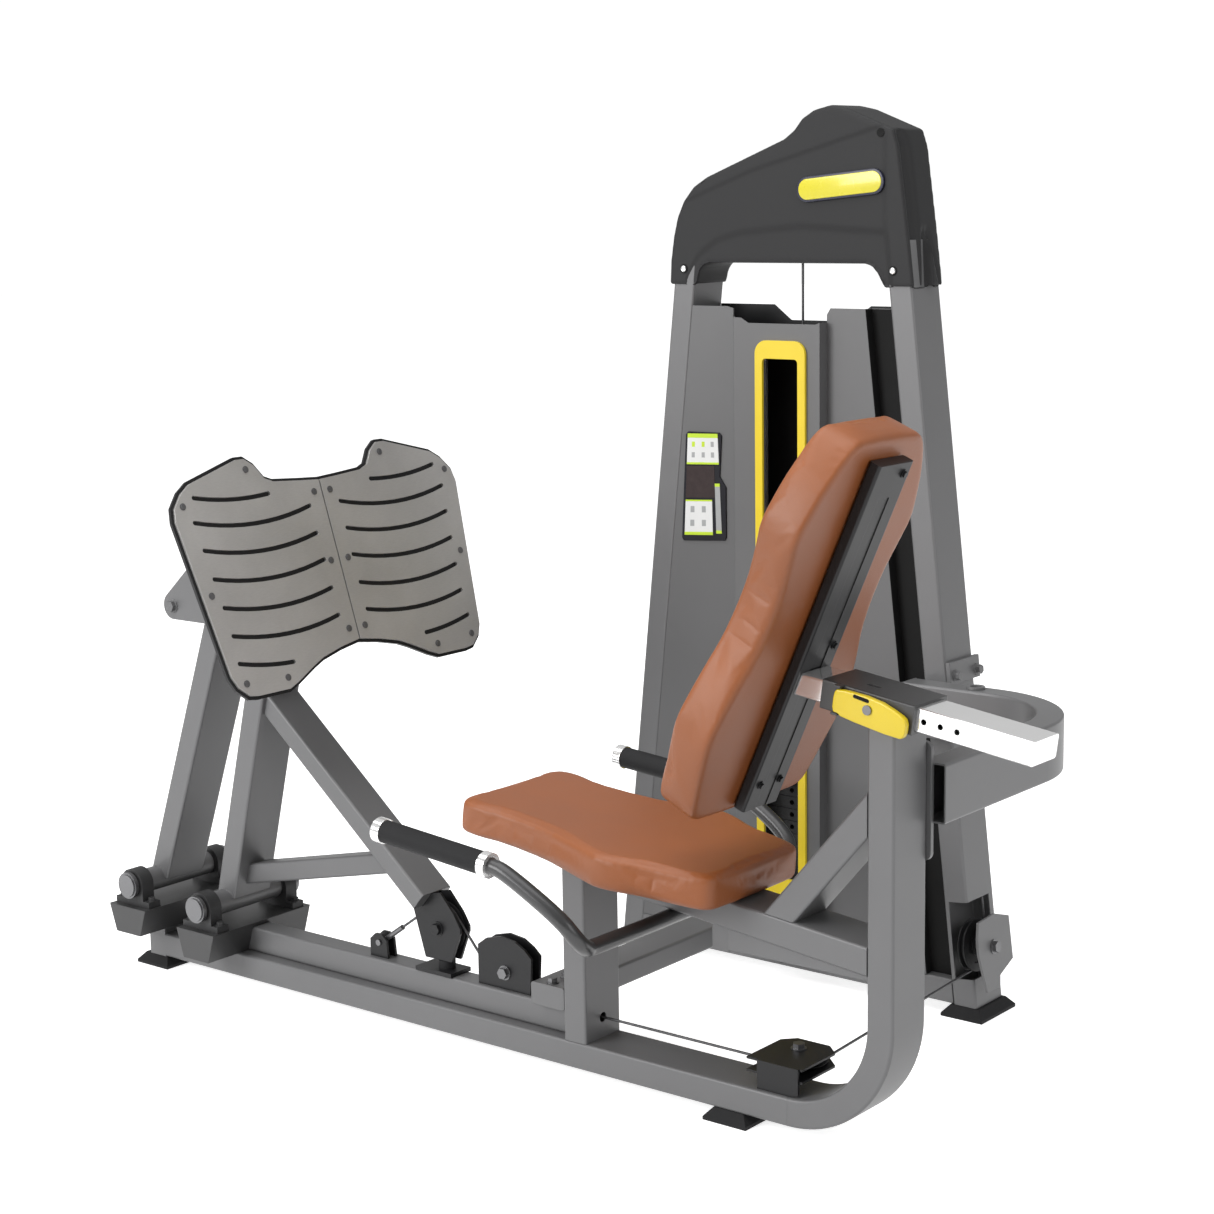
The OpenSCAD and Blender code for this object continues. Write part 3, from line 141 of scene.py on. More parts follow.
def surface(name, tone, rough, metal=0.0, vary=0.1, mottle=9.0, fine=900.0, bump=0.1, depth=0.0002,
            stretch=(1, 1, 1), coat=0.0, coat_rough=0.2, edge=0.0, cells=0.0, spec=0.5):
    """A finish of two close tones in soft mottling, a roughness that varies with it, and a fine grain."""
    m, nt, b = tree_of(name)
    plain = coords(nt)
    drawn = coords(nt, stretch)
    soft = noise(nt, plain, mottle, 3)
    grain = noise(nt, drawn, fine, 3)
    mix = nt.nodes.new("ShaderNodeMath")
    mix.operation = "MULTIPLY_ADD"
    mix.inputs[1].default_value = 0.45
    nt.links.new(grain, mix.inputs[0])
    half = nt.nodes.new("ShaderNodeMath")
    half.operation = "MULTIPLY"
    half.inputs[1].default_value = 0.55
    nt.links.new(soft, half.inputs[0])
    nt.links.new(half.outputs[0], mix.inputs[2])
    colour = ramp(nt, mix.outputs[0], [(0.3, scaled(tone, 1 - vary)), (0.7, scaled(tone, 1 + vary))])
    nt.links.new(colour, b.inputs["Base Color"])
    nt.links.new(spread(nt, soft, rough[0], rough[1]), b.inputs["Roughness"])
    b.inputs["Metallic"].default_value = metal
    b.inputs["Coat Weight"].default_value = coat
    b.inputs["Coat Roughness"].default_value = coat_rough
    b.inputs["Specular IOR Level"].default_value = spec
    height = grain
    if cells:
        v = nt.nodes.new("ShaderNodeTexVoronoi")
        v.feature = "DISTANCE_TO_EDGE"
        v.inputs["Scale"].default_value = cells
        nt.links.new(plain, v.inputs["Vector"])
        cut = nt.nodes.new("ShaderNodeMapRange")
        cut.inputs["From Max"].default_value = 0.18
        nt.links.new(v.outputs["Distance"], cut.inputs["Value"])
        both = nt.nodes.new("ShaderNodeMath")
        both.operation = "MULTIPLY_ADD"
        both.inputs[1].default_value = 0.35
        nt.links.new(grain, both.inputs[0])
        nt.links.new(cut.outputs["Result"], both.inputs[2])
        height = both.outputs[0]
    bp = nt.nodes.new("ShaderNodeBump")
    bp.inputs["Strength"].default_value = bump
    bp.inputs["Distance"].default_value = depth
    nt.links.new(height, bp.inputs["Height"])
    if edge:
        bv = nt.nodes.new("ShaderNodeBevel")
        bv.samples = 4
        bv.inputs["Radius"].default_value = edge
        nt.links.new(bv.outputs["Normal"], bp.inputs["Normal"])
    nt.links.new(bp.outputs["Normal"], b.inputs["Normal"])
    return m


FINISH = {
    "frame_paint": surface("frame_paint", (0.158, 0.158, 0.161), (0.38, 0.5), 0.25, 0.05, 6, 1400, 0.12,
                           0.00015, coat=0.15, coat_rough=0.35, edge=0.002, spec=0.35),
    "shroud_paint": surface("shroud_paint", (0.128, 0.128, 0.130), (0.4, 0.52), 0.25, 0.05, 5, 1400, 0.12,
                            0.00015, coat=0.12, coat_rough=0.4, edge=0.001, spec=0.35),
    "black_paint": surface("black_paint", (0.011, 0.011, 0.012), (0.35, 0.5), 0.0, 0.25, 8, 1300, 0.15,
                           0.00015, coat=0.2, coat_rough=0.3, edge=0.001, spec=0.2),
    "cast_housing": surface("cast_housing", (0.045, 0.045, 0.046), (0.4, 0.6), 0.3, 0.2, 18, 600, 0.35,
                            0.0003, edge=0.0015, spec=0.3),
    "turned_steel": surface("turned_steel", (0.17, 0.17, 0.175), (0.3, 0.45), 0.85, 0.12, 30, 1500, 0.1,
                            0.0001, edge=0.0006),
    "black_rubber": surface("black_rubber", (0.017, 0.017, 0.018), (0.55, 0.75), 0.0, 0.25, 22, 800, 0.45,
                            0.0004, edge=0.0012, spec=0.2),
    "bright_chrome": surface("bright_chrome", (0.93, 0.93, 0.93), (0.08, 0.18), 0.8, 0.02, 14, 1200, 0.02,
                             0.00005, edge=0.0012),
    "yellow_plastic": surface("yellow_plastic", (0.80, 0.60, 0.016), (0.25, 0.38), 0.0, 0.05, 12, 1000, 0.06,
                              0.0001, coat=0.25, coat_rough=0.15, edge=0.0008),
    "placard_plastic": surface("placard_plastic", (0.014, 0.014, 0.018), (0.35, 0.45), 0.0, 0.2, 12, 900,
                               0.08, 0.0001, edge=0.0005, spec=0.2),
    "cover_plastic": surface("cover_plastic", (0.027, 0.027, 0.028), (0.5, 0.6), 0.0, 0.06, 7, 700, 0.3,
                             0.00025, spec=0.2),
    "cast_plates": surface("cast_plates", (0.03, 0.03, 0.031), (0.45, 0.65), 0.2, 0.3, 14, 500, 0.35, 0.0004,
                           edge=0.0015, spec=0.2),
    "pulley_nylon": surface("pulley_nylon", (0.016, 0.016, 0.017), (0.35, 0.5), 0.0, 0.2, 20, 900, 0.15,
                            0.0002, edge=0.0012, spec=0.2),
    "brushed_alloy": surface("brushed_alloy", (0.50, 0.49, 0.475), (0.3, 0.42), 0.55, 0.16, 5, 260, 0.25,
                             0.00012, stretch=(9, 0.35, 9), edge=0.001),
    "knob_plastic": surface("knob_plastic", (0.015, 0.015, 0.016), (0.2, 0.3), 0.0, 0.2, 20, 900, 0.05,
                            0.0001, coat=0.4, edge=0.001, spec=0.2),
    "wire_rope": surface("wire_rope", (0.085, 0.085, 0.088), (0.3, 0.5), 0.7, 0.45, 120, 420, 0.8, 0.0006),
    "tan_leather": surface("tan_leather", (0.285, 0.083, 0.0205), (0.36, 0.48), 0.0, 0.09, 7, 520, 0.22,
                           0.00035, cells=620, coat=0.05, coat_rough=0.35),
}
NAVY = surface("badge_rim", (0.012, 0.013, 0.035), (0.3, 0.4), 0.0, 0.2, 15, 900, 0.06, 0.0001)
BADGE = surface("badge_plastic", (0.72, 0.64, 0.02), (0.22, 0.32), 0.0, 0.04, 14, 900, 0.04, 0.0001, coat=0.4,
                coat_rough=0.1)
WHITE = surface("panel_white", (0.74, 0.75, 0.74), (0.35, 0.45), 0.0, 0.03, 20, 900, 0.04, 0.0001)
LIME = surface("panel_lime", (0.52, 0.72, 0.03), (0.35, 0.45), 0.0, 0.05, 20, 900, 0.04, 0.0001)
UMBER = surface("panel_umber", (0.04, 0.028, 0.028), (0.35, 0.45), 0.0, 0.2, 60, 900, 0.04, 0.0001,
                spec=0.2)
PALE = surface("panel_grey", (0.36, 0.37, 0.37), (0.35, 0.45), 0.0, 0.05, 20, 900, 0.04, 0.0001)
# Near black for the cover's washers, sockets and the lever's mark, and painted shade on the shroud's recess
# strip and wall
BLACK_AND_SHADE = surface("black_and_painted_shade", (0.006, 0.006, 0.006), (0.6, 0.8), 0.0, 0.3, 30, 900, 0.1, 0.0001, spec=0.2)
BLACK_PLUG = surface("plug_plastic", (0.02, 0.02, 0.021), (0.4, 0.5), 0.0, 0.2, 20, 900, 0.15, 0.0002,
                     spec=0.2)
HANDLE = surface("handle_paint", (0.042, 0.042, 0.043), (0.3, 0.42), 0.45, 0.06, 8, 1300, 0.08, 0.0001,
                 coat=0.3, coat_rough=0.2)

# Dark metal of the rail housing, used also as painted shade on the shaft channels
DARK_METAL_AND_SHADE = surface("dark_metal_and_painted_shade", (0.062, 0.062, 0.063), (0.32, 0.45), 0.4, 0.12, 10, 1300, 0.12, 0.0001,
                     coat=0.1, coat_rough=0.3, edge=0.0015, spec=0.3, stretch=(1, 6, 1))

slot_of = {s["node"]: s["material_slot"] for s in frame["record"]["subparts"]}
# Nodes that are darker than the rest of their material slot: the rail housing is dark metal, and the shaft
# channels' dark paint is painted shade
DARK_TONE_AND_SHADE = {"rail_housing": DARK_METAL_AND_SHADE, "shaft_channels": DARK_METAL_AND_SHADE}
for node_name, obj in NODES.items():
    finish = DARK_TONE_AND_SHADE.get(node_name) or FINISH.get(slot_of[node_name], FINISH["black_paint"])
    obj.data.materials.clear()
    obj.data.materials.append(finish)

# ---------------------------------------------------------------- mesh helpers


def mesh_object(name, verts, faces, material, matrix=None):
    me = bpy.data.meshes.new(name)
    me.from_pydata([tuple(v) for v in verts], [], faces)
    me.validate()
    bm = bmesh.new()
    bm.from_mesh(me)
    bmesh.ops.recalc_face_normals(bm, faces=bm.faces)
    bm.to_mesh(me)
    bm.free()
    if matrix is not None:
        me.transform(matrix)
    me.materials.append(material)
    o = bpy.data.objects.new(name, me)
    bpy.context.scene.collection.objects.link(o)
    return o


def settle(o, angle=35):
    """Applies the modifiers and shades smooth apart from edges sharper than angle."""
    dg = bpy.context.evaluated_depsgraph_get()
    me = bpy.data.meshes.new_from_object(o.evaluated_get(dg))
    o.modifiers.clear()
    o.data = me
    me.shade_smooth()
    me.set_sharp_from_angle(angle=math.radians(angle))
    return o


def prism(name, outline, y0, y1, material, matrix=FLAT, bevel=0.0, segments=3, angle=35):
    """Plate of an outline in local X and Z, from y0 to y1, with rounded edges."""
    n = len(outline)
    verts = [(x, y0, z) for x, z in outline] + [(x, y1, z) for x, z in outline]
    faces = [list(range(n)), list(range(2 * n - 1, n - 1, -1))]
    faces += [[i, i + n, (i + 1) % n + n, (i + 1) % n] for i in range(n)]
    o = mesh_object(name, verts, faces, material, matrix)
    if bevel:
        md = o.modifiers.new("edge", "BEVEL")
        md.width = bevel * MM
        md.segments = segments
        md.limit_method = "ANGLE"
        md.angle_limit = math.radians(angle)
    return settle(o)


def stadium(cx, cz, w, h, r, turn=0.0, steps=6):
    """Outline of a rectangle with round corners, turned about its centre."""
    pts = []
    for k, (sx, sz) in enumerate([(1, 1), (-1, 1), (-1, -1), (1, -1)]):
        for i in range(steps + 1):
            a = math.radians(90 * k + 90 * i / steps)
            pts.append((sx * (w / 2 - r) + r * math.cos(a), sz * (h / 2 - r) + r * math.sin(a)))
    c, s = math.cos(math.radians(turn)), math.sin(math.radians(turn))
    return [(cx + x * c - z * s, cz + x * s + z * c) for x, z in pts]


def rounded(path, times, closed=False):
    """Path with its corners cut a number of times."""
    for _ in range(times):
        out = []
        n = len(path)
        last = n if closed else n - 1
        if not closed:
            out.append(path[0])
        for i in range(last):
            a, b = np.array(path[i], float), np.array(path[(i + 1) % n], float)
            if closed or i > 0:
                out.append(tuple(a + 0.25 * (b - a)))
            if closed or i < last - 1:
                out.append(tuple(a + 0.75 * (b - a)))
        if not closed:
            out.append(path[-1])
        path = out
    return path


def tube(name, points, radius, material, sides=16):
    """Round tube through points of the row frame, closed at its ends."""
    cu = bpy.data.curves.new(name, "CURVE")
    cu.dimensions = "3D"
    cu.bevel_depth = radius
    cu.bevel_resolution = max(1, sides // 4 - 1)
    cu.use_fill_caps = True
    sp = cu.splines.new("POLY")
    sp.points.add(len(points) - 1)
    for p, q in zip(sp.points, points):
        p.co = (*q, 1)
    src = bpy.data.objects.new(name + "_line", cu)
    bpy.context.scene.collection.objects.link(src)
    dg = bpy.context.evaluated_depsgraph_get()
    me = bpy.data.meshes.new_from_object(src.evaluated_get(dg))
    bpy.data.objects.remove(src)
    bpy.data.curves.remove(cu)
    me.materials.clear()
    me.materials.append(material)
    me.shade_smooth()
    me.set_sharp_from_angle(angle=math.radians(50))
    me.name = name
    o = bpy.data.objects.new(name, me)
    bpy.context.scene.collection.objects.link(o)
    return o


def lathe(name, profile, origin, axis, material, sides=32):
    """Turned piece: a profile of (distance along the axis, radius) in millimetres, about an axis."""
    axis = Vector(axis).normalized()
    turn = axis.to_track_quat("Z", "Y").to_matrix().to_4x4()
    verts, faces = [], []
    for d, r in profile:
        for k in range(sides):
            a = 2 * math.pi * k / sides
            verts.append((r * math.cos(a) * MM, r * math.sin(a) * MM, d * MM))
    for i in range(len(profile) - 1):
        for k in range(sides):
            j = (k + 1) % sides
            faces.append([i * sides + k, i * sides + j, (i + 1) * sides + j, (i + 1) * sides + k])
    faces.append(list(range(sides))[::-1])
    faces.append([(len(profile) - 1) * sides + k for k in range(sides)])
    o = mesh_object(name, verts, faces, material, Matrix.Translation(origin) @ turn)
    return settle(o, 40)


def get_points(o):
    co = np.empty(len(o.data.vertices) * 3)
    o.data.vertices.foreach_get("co", co)
    return co.reshape(-1, 3)


def set_points(o, co):
    o.data.vertices.foreach_set("co", co.ravel())
    o.data.update()


def smoothstep(a, b, x):
    t = np.clip((x - a) / (b - a), 0, 1)
    return t * t * (3 - 2 * t)


# ---------------------------------------------------------------- cushions


CLOTH_FRAMES = 20
CUSHION_VOXEL = 0.0045
# Points lower than this are held to the board
BOARD_HOLD = 0.006


def cushion(name, outline, thick, matrix, body, node, inset=2.5, crown=3.0, edge=9.0, cap=3.5):
    """Padded form over an outline (u, v) in millimetres, from its board at w = 0 up to w = thick."""
    pts = rounded(outline, 1, closed=True)
    p = np.array(pts)
    tangent = np.roll(p, -1, 0) - np.roll(p, 1, 0)
    normal = np.stack([tangent[:, 1], -tangent[:, 0]], 1)
    normal /= np.linalg.norm(normal, axis=1)[:, None]
    area = 0.5 * np.sum(p[:, 0] * np.roll(p[:, 1], -1) - np.roll(p[:, 0], -1) * p[:, 1])
    p = p - normal * inset * (1 if area > 0 else -1)
    n = len(p)
    top = thick - crown
    verts = [(u * MM, v * MM, 1.5 * MM) for u, v in p] + [(u * MM, v * MM, top * MM) for u, v in p]
    faces = [list(range(n)), list(range(2 * n - 1, n - 1, -1))]
    faces += [[i, i + n, (i + 1) % n + n, (i + 1) % n] for i in range(n)]
    o = mesh_object(name, verts, faces, FINISH["tan_leather"])
    md = o.modifiers.new("edge", "BEVEL")
    md.width = edge * MM
    md.segments = 4
    md.limit_method = "ANGLE"
    md.angle_limit = math.radians(50)
    md = o.modifiers.new("skin", "REMESH")
    md.mode = "VOXEL"
    md.voxel_size = CUSHION_VOXEL
    md = o.modifiers.new("ease", "SMOOTH")
    md.iterations = 3
    md.factor = 0.5
    settle(o, 180)
    rigid = matrix @ Matrix.Scale(1 / MM, 4)
    rest = get_points(o)
    o.matrix_world = rigid
    held = o.vertex_groups.new(name="board")
    held.add([i for i, q in enumerate(rest) if q[2] < BOARD_HOLD], 1.0, "REPLACE")
    cloth = o.modifiers.new("cloth", "CLOTH")
    s = cloth.settings
    s.quality = 5
    s.mass = 0.3
    s.use_pressure = True
    s.uniform_pressure_force = 2.0
    s.effector_weights.gravity = 0.0
    s.vertex_group_mass = "board"
    scene = bpy.context.scene
    for f in range(1, CLOTH_FRAMES + 1):
        scene.frame_set(f)
    dg = bpy.context.evaluated_depsgraph_get()
    done = bpy.data.meshes.new_from_object(o.evaluated_get(dg))
    moved = np.empty(len(done.vertices) * 3)
    done.vertices.foreach_get("co", moved)
    moved = moved.reshape(-1, 3)
    o.modifiers.clear()
    o.vertex_groups.clear()
    scene.frame_set(1)
    step = moved - rest
    size = np.linalg.norm(step, axis=1)[:, None]
    rest = rest + step * np.minimum(1.0, cap * MM / np.maximum(size, 1e-9))
    o.matrix_world = Matrix.Identity(4)
    rest[:, 2] = np.clip(rest[:, 2], 1.0 * MM, thick * MM)
    set_points(o, rest)
    md = o.modifiers.new("fine", "SUBSURF")
    md.levels = md.render_levels = 1
    settle(o, 180)
    o.data.transform(rigid)
    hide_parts(node)
    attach(o, body)
    return o


SEAT_FRONT = -815
SEAT_THICK, BACK_THICK, BACK_LENGTH = 62, 82, 700
SEAT_HALF = [(0, 105), (6, 128), (22, 145), (60, 149), (115, 140), (215, 149), (275, 166), (332, 183),
             (359, 190), (396, 183), (444, 163), (498, 152), (540, 142), (558, 130), (565, 108)]
seat_outline = [(SEAT_FRONT + d, h) for d, h in SEAT_HALF]
seat_outline += [(SEAT_FRONT + d, -h) for d, h in reversed(SEAT_HALF)]
cushion("seat_pad", seat_outline, SEAT_THICK, SEAT, "frame", "seat_cushion")

BACK_HALF = [(0, 128), (0.006, 152), (0.03, 170), (0.13, 188), (0.2, 200), (0.25, 204), (0.3, 197),
             (0.38, 182), (0.456, 162), (0.533, 154), (0.61, 154), (0.683, 164), (0.76, 176), (0.827, 162),
             (0.886, 147), (0.946, 125), (0.985, 104), (1, 78)]
back_outline = [(s * BACK_LENGTH, h) for s, h in BACK_HALF]
back_outline += [(s * BACK_LENGTH, -h) for s, h in reversed(BACK_HALF)]
ON_BACK = BACK @ Matrix(((0, 0, -1, 0), (0, 1, 0, 0), (1, 0, 0, 0), (0, 0, 0, 1)))
cushion("back_pad", back_outline, BACK_THICK, ON_BACK, "back_rest", "back_cushion")

# ---------------------------------------------------------------- top cover

NEAR_Y, FAR_Y = 640.5, 749.5
COVER_OUTER = [(-905, 1382), (-902, 1430), (-895, 1475), (-885, 1514), (-869, 1546), (-845, 1573),
               (-812, 1592), (-630, 1660), (-607, 1676), (-589, 1697), (-562, 1712), (-524, 1720),
               (-487, 1712), (-386, 1672), (-375, 1640), (-353, 1480), (-341, 1382)]
COVER_ARCH = [(-406, 1382), (-421, 1408), (-433, 1421), (-449, 1426), (-809, 1426), (-825, 1421),
              (-834, 1408), (-841, 1382)]
UPPER_CREASE = [(-960, 1512), (-851, 1552), (-707, 1603), (-524, 1651), (-414, 1680), (-300, 1712)]
LOWER_CREASE = [(-880, 1300), (-862, 1400), (-835, 1441), (-790, 1470), (-732, 1485), (-592, 1496),
                (-392, 1484), (-300, 1480)]


COVER_VOXEL = 0.0036


def crease_depth(x, z):
    """How far the near side is sunk at a point: below the upper crease, and again below the lower one."""
    up = np.interp(x, *zip(*UPPER_CREASE))
    low = np.interp(x, *zip(*LOWER_CREASE))
    return 2.2 * smoothstep(up + 3, up - 6, z) + 3.0 * smoothstep(low + 9, low - 9, z)


def cover_piece():
    n = len(COVER_OUTER) + len(COVER_ARCH)
    line = COVER_OUTER + COVER_ARCH
    verts = [(x, NEAR_Y, z) for x, z in line] + [(x, FAR_Y, z) for x, z in line]
    faces = [list(range(n)), list(range(2 * n - 1, n - 1, -1))]
    faces += [[i, i + n, (i + 1) % n + n, (i + 1) % n] for i in range(n)]
    o = mesh_object("top_cover", verts, faces, FINISH["cover_plastic"], FLAT)
    md = o.modifiers.new("edge", "BEVEL")
    md.width = 5 * MM
    md.segments = 2
    md.limit_method = "ANGLE"
    md.angle_limit = math.radians(60)
    md = o.modifiers.new("skin", "REMESH")
    md.mode = "VOXEL"
    md.voxel_size = COVER_VOXEL
    md = o.modifiers.new("ease", "SMOOTH")
    md.iterations = 3
    md.factor = 0.5
    settle(o, 180)
    co = get_points(o)
    nm = np.empty(len(co) * 3)
    o.data.vertices.foreach_get("normal", nm)
    nm = nm.reshape(-1, 3)
    x = co[:, 0] / MM - DATUM[0]
    y = co[:, 1] / MM - DATUM[1]
    z = co[:, 2] / MM
    # The near side's creases fade out towards its rear edge
    sunk = crease_depth(x, z)
    sunk *= 1 - smoothstep(-412, -396, x - (z < 1500) * (1500 - z) * 0.12)
    near = smoothstep(0.45, 0.9, -nm[:, 1])
    co[:, 1] += sunk * near * MM
    # Rear side: a long groove beside the near edge, and a blade between two grooves low down
    t = y - NEAR_Y
    rear = smoothstep(0.3, 0.85, nm[:, 0]) * smoothstep(-470, -430, x)
    groove = 13 * np.exp(-((t - 24) / 12.0) ** 2) * smoothstep(1690, 1650, z)
    blade_mid = 62 + (1494 - z) * 0.05
    blade_half = np.clip((1496 - z) * 0.15, 0.1, 17)
    lowered = smoothstep(1500, 1470, z)
    off = np.abs(t - blade_mid)
    ridge = 9 * smoothstep(blade_half, blade_half - 7, off)
    trench = 9 * np.exp(-((off - blade_half - 5) / 6.0) ** 2)
    blade = lowered * (ridge - trench)
    co[:, 0] += rear * (blade - groove) * MM
    set_points(o, co)
    # Openings for the legs and for the rope
    bm = bmesh.new()
    bm.from_mesh(o.data)
    gone = []
    for f in bm.faces:
        c = f.calc_center_median()
        cx, cy, cz = c.x / MM - DATUM[0], c.y / MM - DATUM[1], c.z / MM
        foot = f.normal.z < -0.5 and cz < 1386
        slit = f.normal.z < -0.5 and abs(cy - MID_Y) < 26 and -790 < cx < -470 and cz < 1440
        if foot or slit:
            gone.append(f)
    bmesh.ops.delete(bm, geom=gone, context="FACES")
    bm.to_mesh(o.data)
    bm.free()
    md = o.modifiers.new("wall", "SOLIDIFY")
    md.thickness = 2.6 * MM
    md.offset = -1
    settle(o, 60)
    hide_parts("top_cover_near", "top_cover_far")
    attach(o, "frame")
    return o


cover_piece()

OUTWARD = (0, -1, 0)
for i, (x, z) in enumerate([(-869, 1414), (-385, 1413.5)]):
    d = float(crease_depth(x, z)) if x < -500 else 0.5
    face = NEAR_Y + d
    ring = lathe(f"cover_washer_{i}", [(0, 9), (1.0, 9), (1.6, 8), (1.6, 3)], row(x, face - 0.2, z),
                 OUTWARD, BLACK_AND_SHADE)
    head = lathe(f"cover_screw_{i}", [(1.2, 6), (3.0, 6), (4.2, 4.6), (4.6, 2.5), (3.4, 2.0)],
                 row(x, face, z), OUTWARD, FINISH["bright_chrome"])
    for piece in (ring, head):
        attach(piece, "frame")
for i, (x, z) in enumerate([(-817, 1576), (-414, 1666)]):
    sock = lathe(f"cover_socket_{i}", [(0, 8), (0.8, 8), (0.9, 7), (0.3, 5)], row(x, NEAR_Y + 1.2, z),
                 OUTWARD, BLACK_AND_SHADE)
    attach(sock, "frame")

BADGE_X, BADGE_Z, BADGE_TURN = -501, 1571, 5
rim = prism("badge_rim", stadium(BADGE_X, BADGE_Z, 194, 48, 23.5, BADGE_TURN, 10), NEAR_Y - 3.5, NEAR_Y + 3,
            NAVY, bevel=1.6)
face = prism("badge_face", stadium(BADGE_X, BADGE_Z, 184, 39, 19.2, BADGE_TURN, 10), NEAR_Y - 4.8,
             NEAR_Y - 3.0, BADGE, bevel=1.2)
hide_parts("badge")
for piece in (rim, face):
    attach(piece, "frame")

# ---------------------------------------------------------------- shroud's dark strip, painted shade of its recess

LEG_BASE, LEAN, TUBE_T = 405.0, 6.42, 50.0
LEAN_TAN = math.tan(math.radians(LEAN))
STRIP, PANEL_LOW, PANEL_HIGH = 55.0, 70.0, 1342.0
SHROUD_Y, RECESS_Y = 645.0, 667.0


def leg_inner(z):
    """Inner edge of the rear tower leg at height z."""
    return STACK_X + LEG_BASE - TUBE_T / 2 / math.cos(math.radians(LEAN)) - z * LEAN_TAN


def leaning(near, far):
    """Outline between two distances in from the leg, over the height of the shroud's panels."""
    low_x, high_x = leg_inner(PANEL_LOW), leg_inner(PANEL_HIGH)
    low_z, high_z = PANEL_LOW + 1, PANEL_HIGH - 1
    return [(low_x - near, low_z), (high_x - near, high_z), (high_x - far, high_z), (low_x - far, low_z)]


# Painted shade: near-black sheets in the recess between the shroud's panel and the rear leg
strips = [
    ("recess_strip", leaning(0.5, STRIP - 0.5), RECESS_Y - 0.8, RECESS_Y - 0.05),
    ("recess_wall", leaning(STRIP - 0.8, STRIP - 0.05), SHROUD_Y + 0.3, RECESS_Y - 1.0),
]
for name, shape, y0, y1 in strips:
    strip = prism(name, shape, y0, y1, BLACK_AND_SHADE)
    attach(strip, "frame")

# ---------------------------------------------------------------- placard panels

PLACARD_Y = 642.0


def on_placard(u, v):
    """Point of the placard from shares u across and v down."""
    tl, tr, bl, br = (-867, 1091), (-784, 1094), (-879, 877), (-773, 884)
    x = (tl[0] * (1 - u) + tr[0] * u) * (1 - v) + (bl[0] * (1 - u) + br[0] * u) * v
    z = (tl[1] * (1 - u) + tr[1] * u) * (1 - v) + (bl[1] * (1 - u) + br[1] * u) * v
    return x, z


def panel(name, u0, v0, u1, v1, material, lift=0.6):
    corners = [on_placard(u0, v0), on_placard(u1, v0), on_placard(u1, v1), on_placard(u0, v1)]
    o = prism(name, corners, PLACARD_Y - lift, PLACARD_Y - 0.05, material, bevel=0.25, segments=1)
    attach(o, "frame")


panel("placard_sheet_high", 0.05, 0.02, 0.93, 0.30, WHITE)
panel("placard_strip_top", 0.05, 0.015, 0.93, 0.055, LIME, 0.8)
panel("placard_strip_mid", 0.05, 0.285, 0.93, 0.305, LIME, 0.8)
panel("placard_block", 0.05, 0.32, 0.80, 0.62, UMBER, 0.6)
panel("placard_sheet_low", 0.05, 0.64, 0.72, 0.97, WHITE)
panel("placard_strip_low", 0.05, 0.64, 0.72, 0.655, LIME, 0.8)
panel("placard_strip_end", 0.05, 0.945, 0.72, 0.975, LIME, 0.8)
panel("placard_tab", 0.80, 0.50, 0.93, 0.95, PALE, 0.6)
panel("placard_tab_cap", 0.80, 0.485, 0.93, 0.515, LIME, 0.8)
panel("placard_tab_end", 0.80, 0.93, 0.93, 0.96, LIME, 0.8)
HIGH_MARKS = [(0.18, 0.09), (0.46, 0.09), (0.72, 0.09), (0.18, 0.19), (0.46, 0.19), (0.72, 0.19)]
LOW_MARKS = [(0.18, 0.70), (0.46, 0.70), (0.18, 0.83), (0.46, 0.83)]
for i, (u, v) in enumerate(HIGH_MARKS):
    panel(f"placard_mark_{i}", u, v, u + 0.09, v + 0.05, LIME if i in (0, 1) else PALE, 0.75)
for i, (u, v) in enumerate(LOW_MARKS):
    panel(f"placard_sketch_{i}", u, v, u + 0.1, v + 0.06, PALE, 0.75)

# ---------------------------------------------------------------- handle bar

HANDLE_R = 14
HANDLE_HALF = [(-800, 332, 495.5), (-560, 332, 473.9), (-550, 332, 473), (-521, 332, 468), (-412, 324, 406),
               (-390, 308, 369), (-392, 284, 348), (-401, 258, 341), (-401, 0, 341)]
handle_line = HANDLE_HALF + [(x, -y, z) for x, y, z in reversed(HANDLE_HALF[:-1])]
handle_line = rounded(handle_line, 4)
bar = tube("bent_handle", [row(*p) for p in handle_line], HANDLE_R * MM, HANDLE, 24)
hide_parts("handle_bar")
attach(bar, "frame")

# ---------------------------------------------------------------- release lever

LEVER = [(-58, 12), (-52, 20), (20, 21), (66, 8), (80, 0), (80, -26), (70, -33), (-40, -25), (-46, -20),
         (-58, -20)]
lever = prism("yellow_lever", rounded(LEVER, 1, True), -62.5, -51, FINISH["yellow_plastic"], RAIL, 2.6, 4,
              30)
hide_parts("release_lever")
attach(lever, "release_lever")
mark = prism("lever_mark", stadium(-6, 15, 30, 6, 2.8, -4), -63.2, -61, BLACK_AND_SHADE, RAIL, 0.5, 2)
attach(mark, "release_lever")

# ---------------------------------------------------------------- cable

R0 = (-1518.0, 175.0)
RADIUS = 44.0
ARM_AXLE, FIXED_AXLE, ANCHOR = (-970.0, 208.0), (-805.0, 154.0), (-1127.0, 151.0)
CORNER_X, CABLE_Z = -195.0, 110.0
WHEEL = (-214.0, 668.0, 140.0)
TOP_Z = 1521.0
FRONT_TOP_X = STACK_X + RADIUS
EXIT = 95.8
ROPE_R, ROPE_SIDES = 2.5 * MM, 12
STACK_LOW, FERRULE_REACH = 646.0, 64


def heading(p, q):
    return math.degrees(math.atan2(q[1] - p[1], q[0] - p[0]))


def polar(c, a):
    return (c[0] + RADIUS * math.cos(math.radians(a)), c[1] + RADIUS * math.sin(math.radians(a)))


def spaced(a, b, steps):
    return [a + (b - a) * i / steps for i in range(steps + 1)]


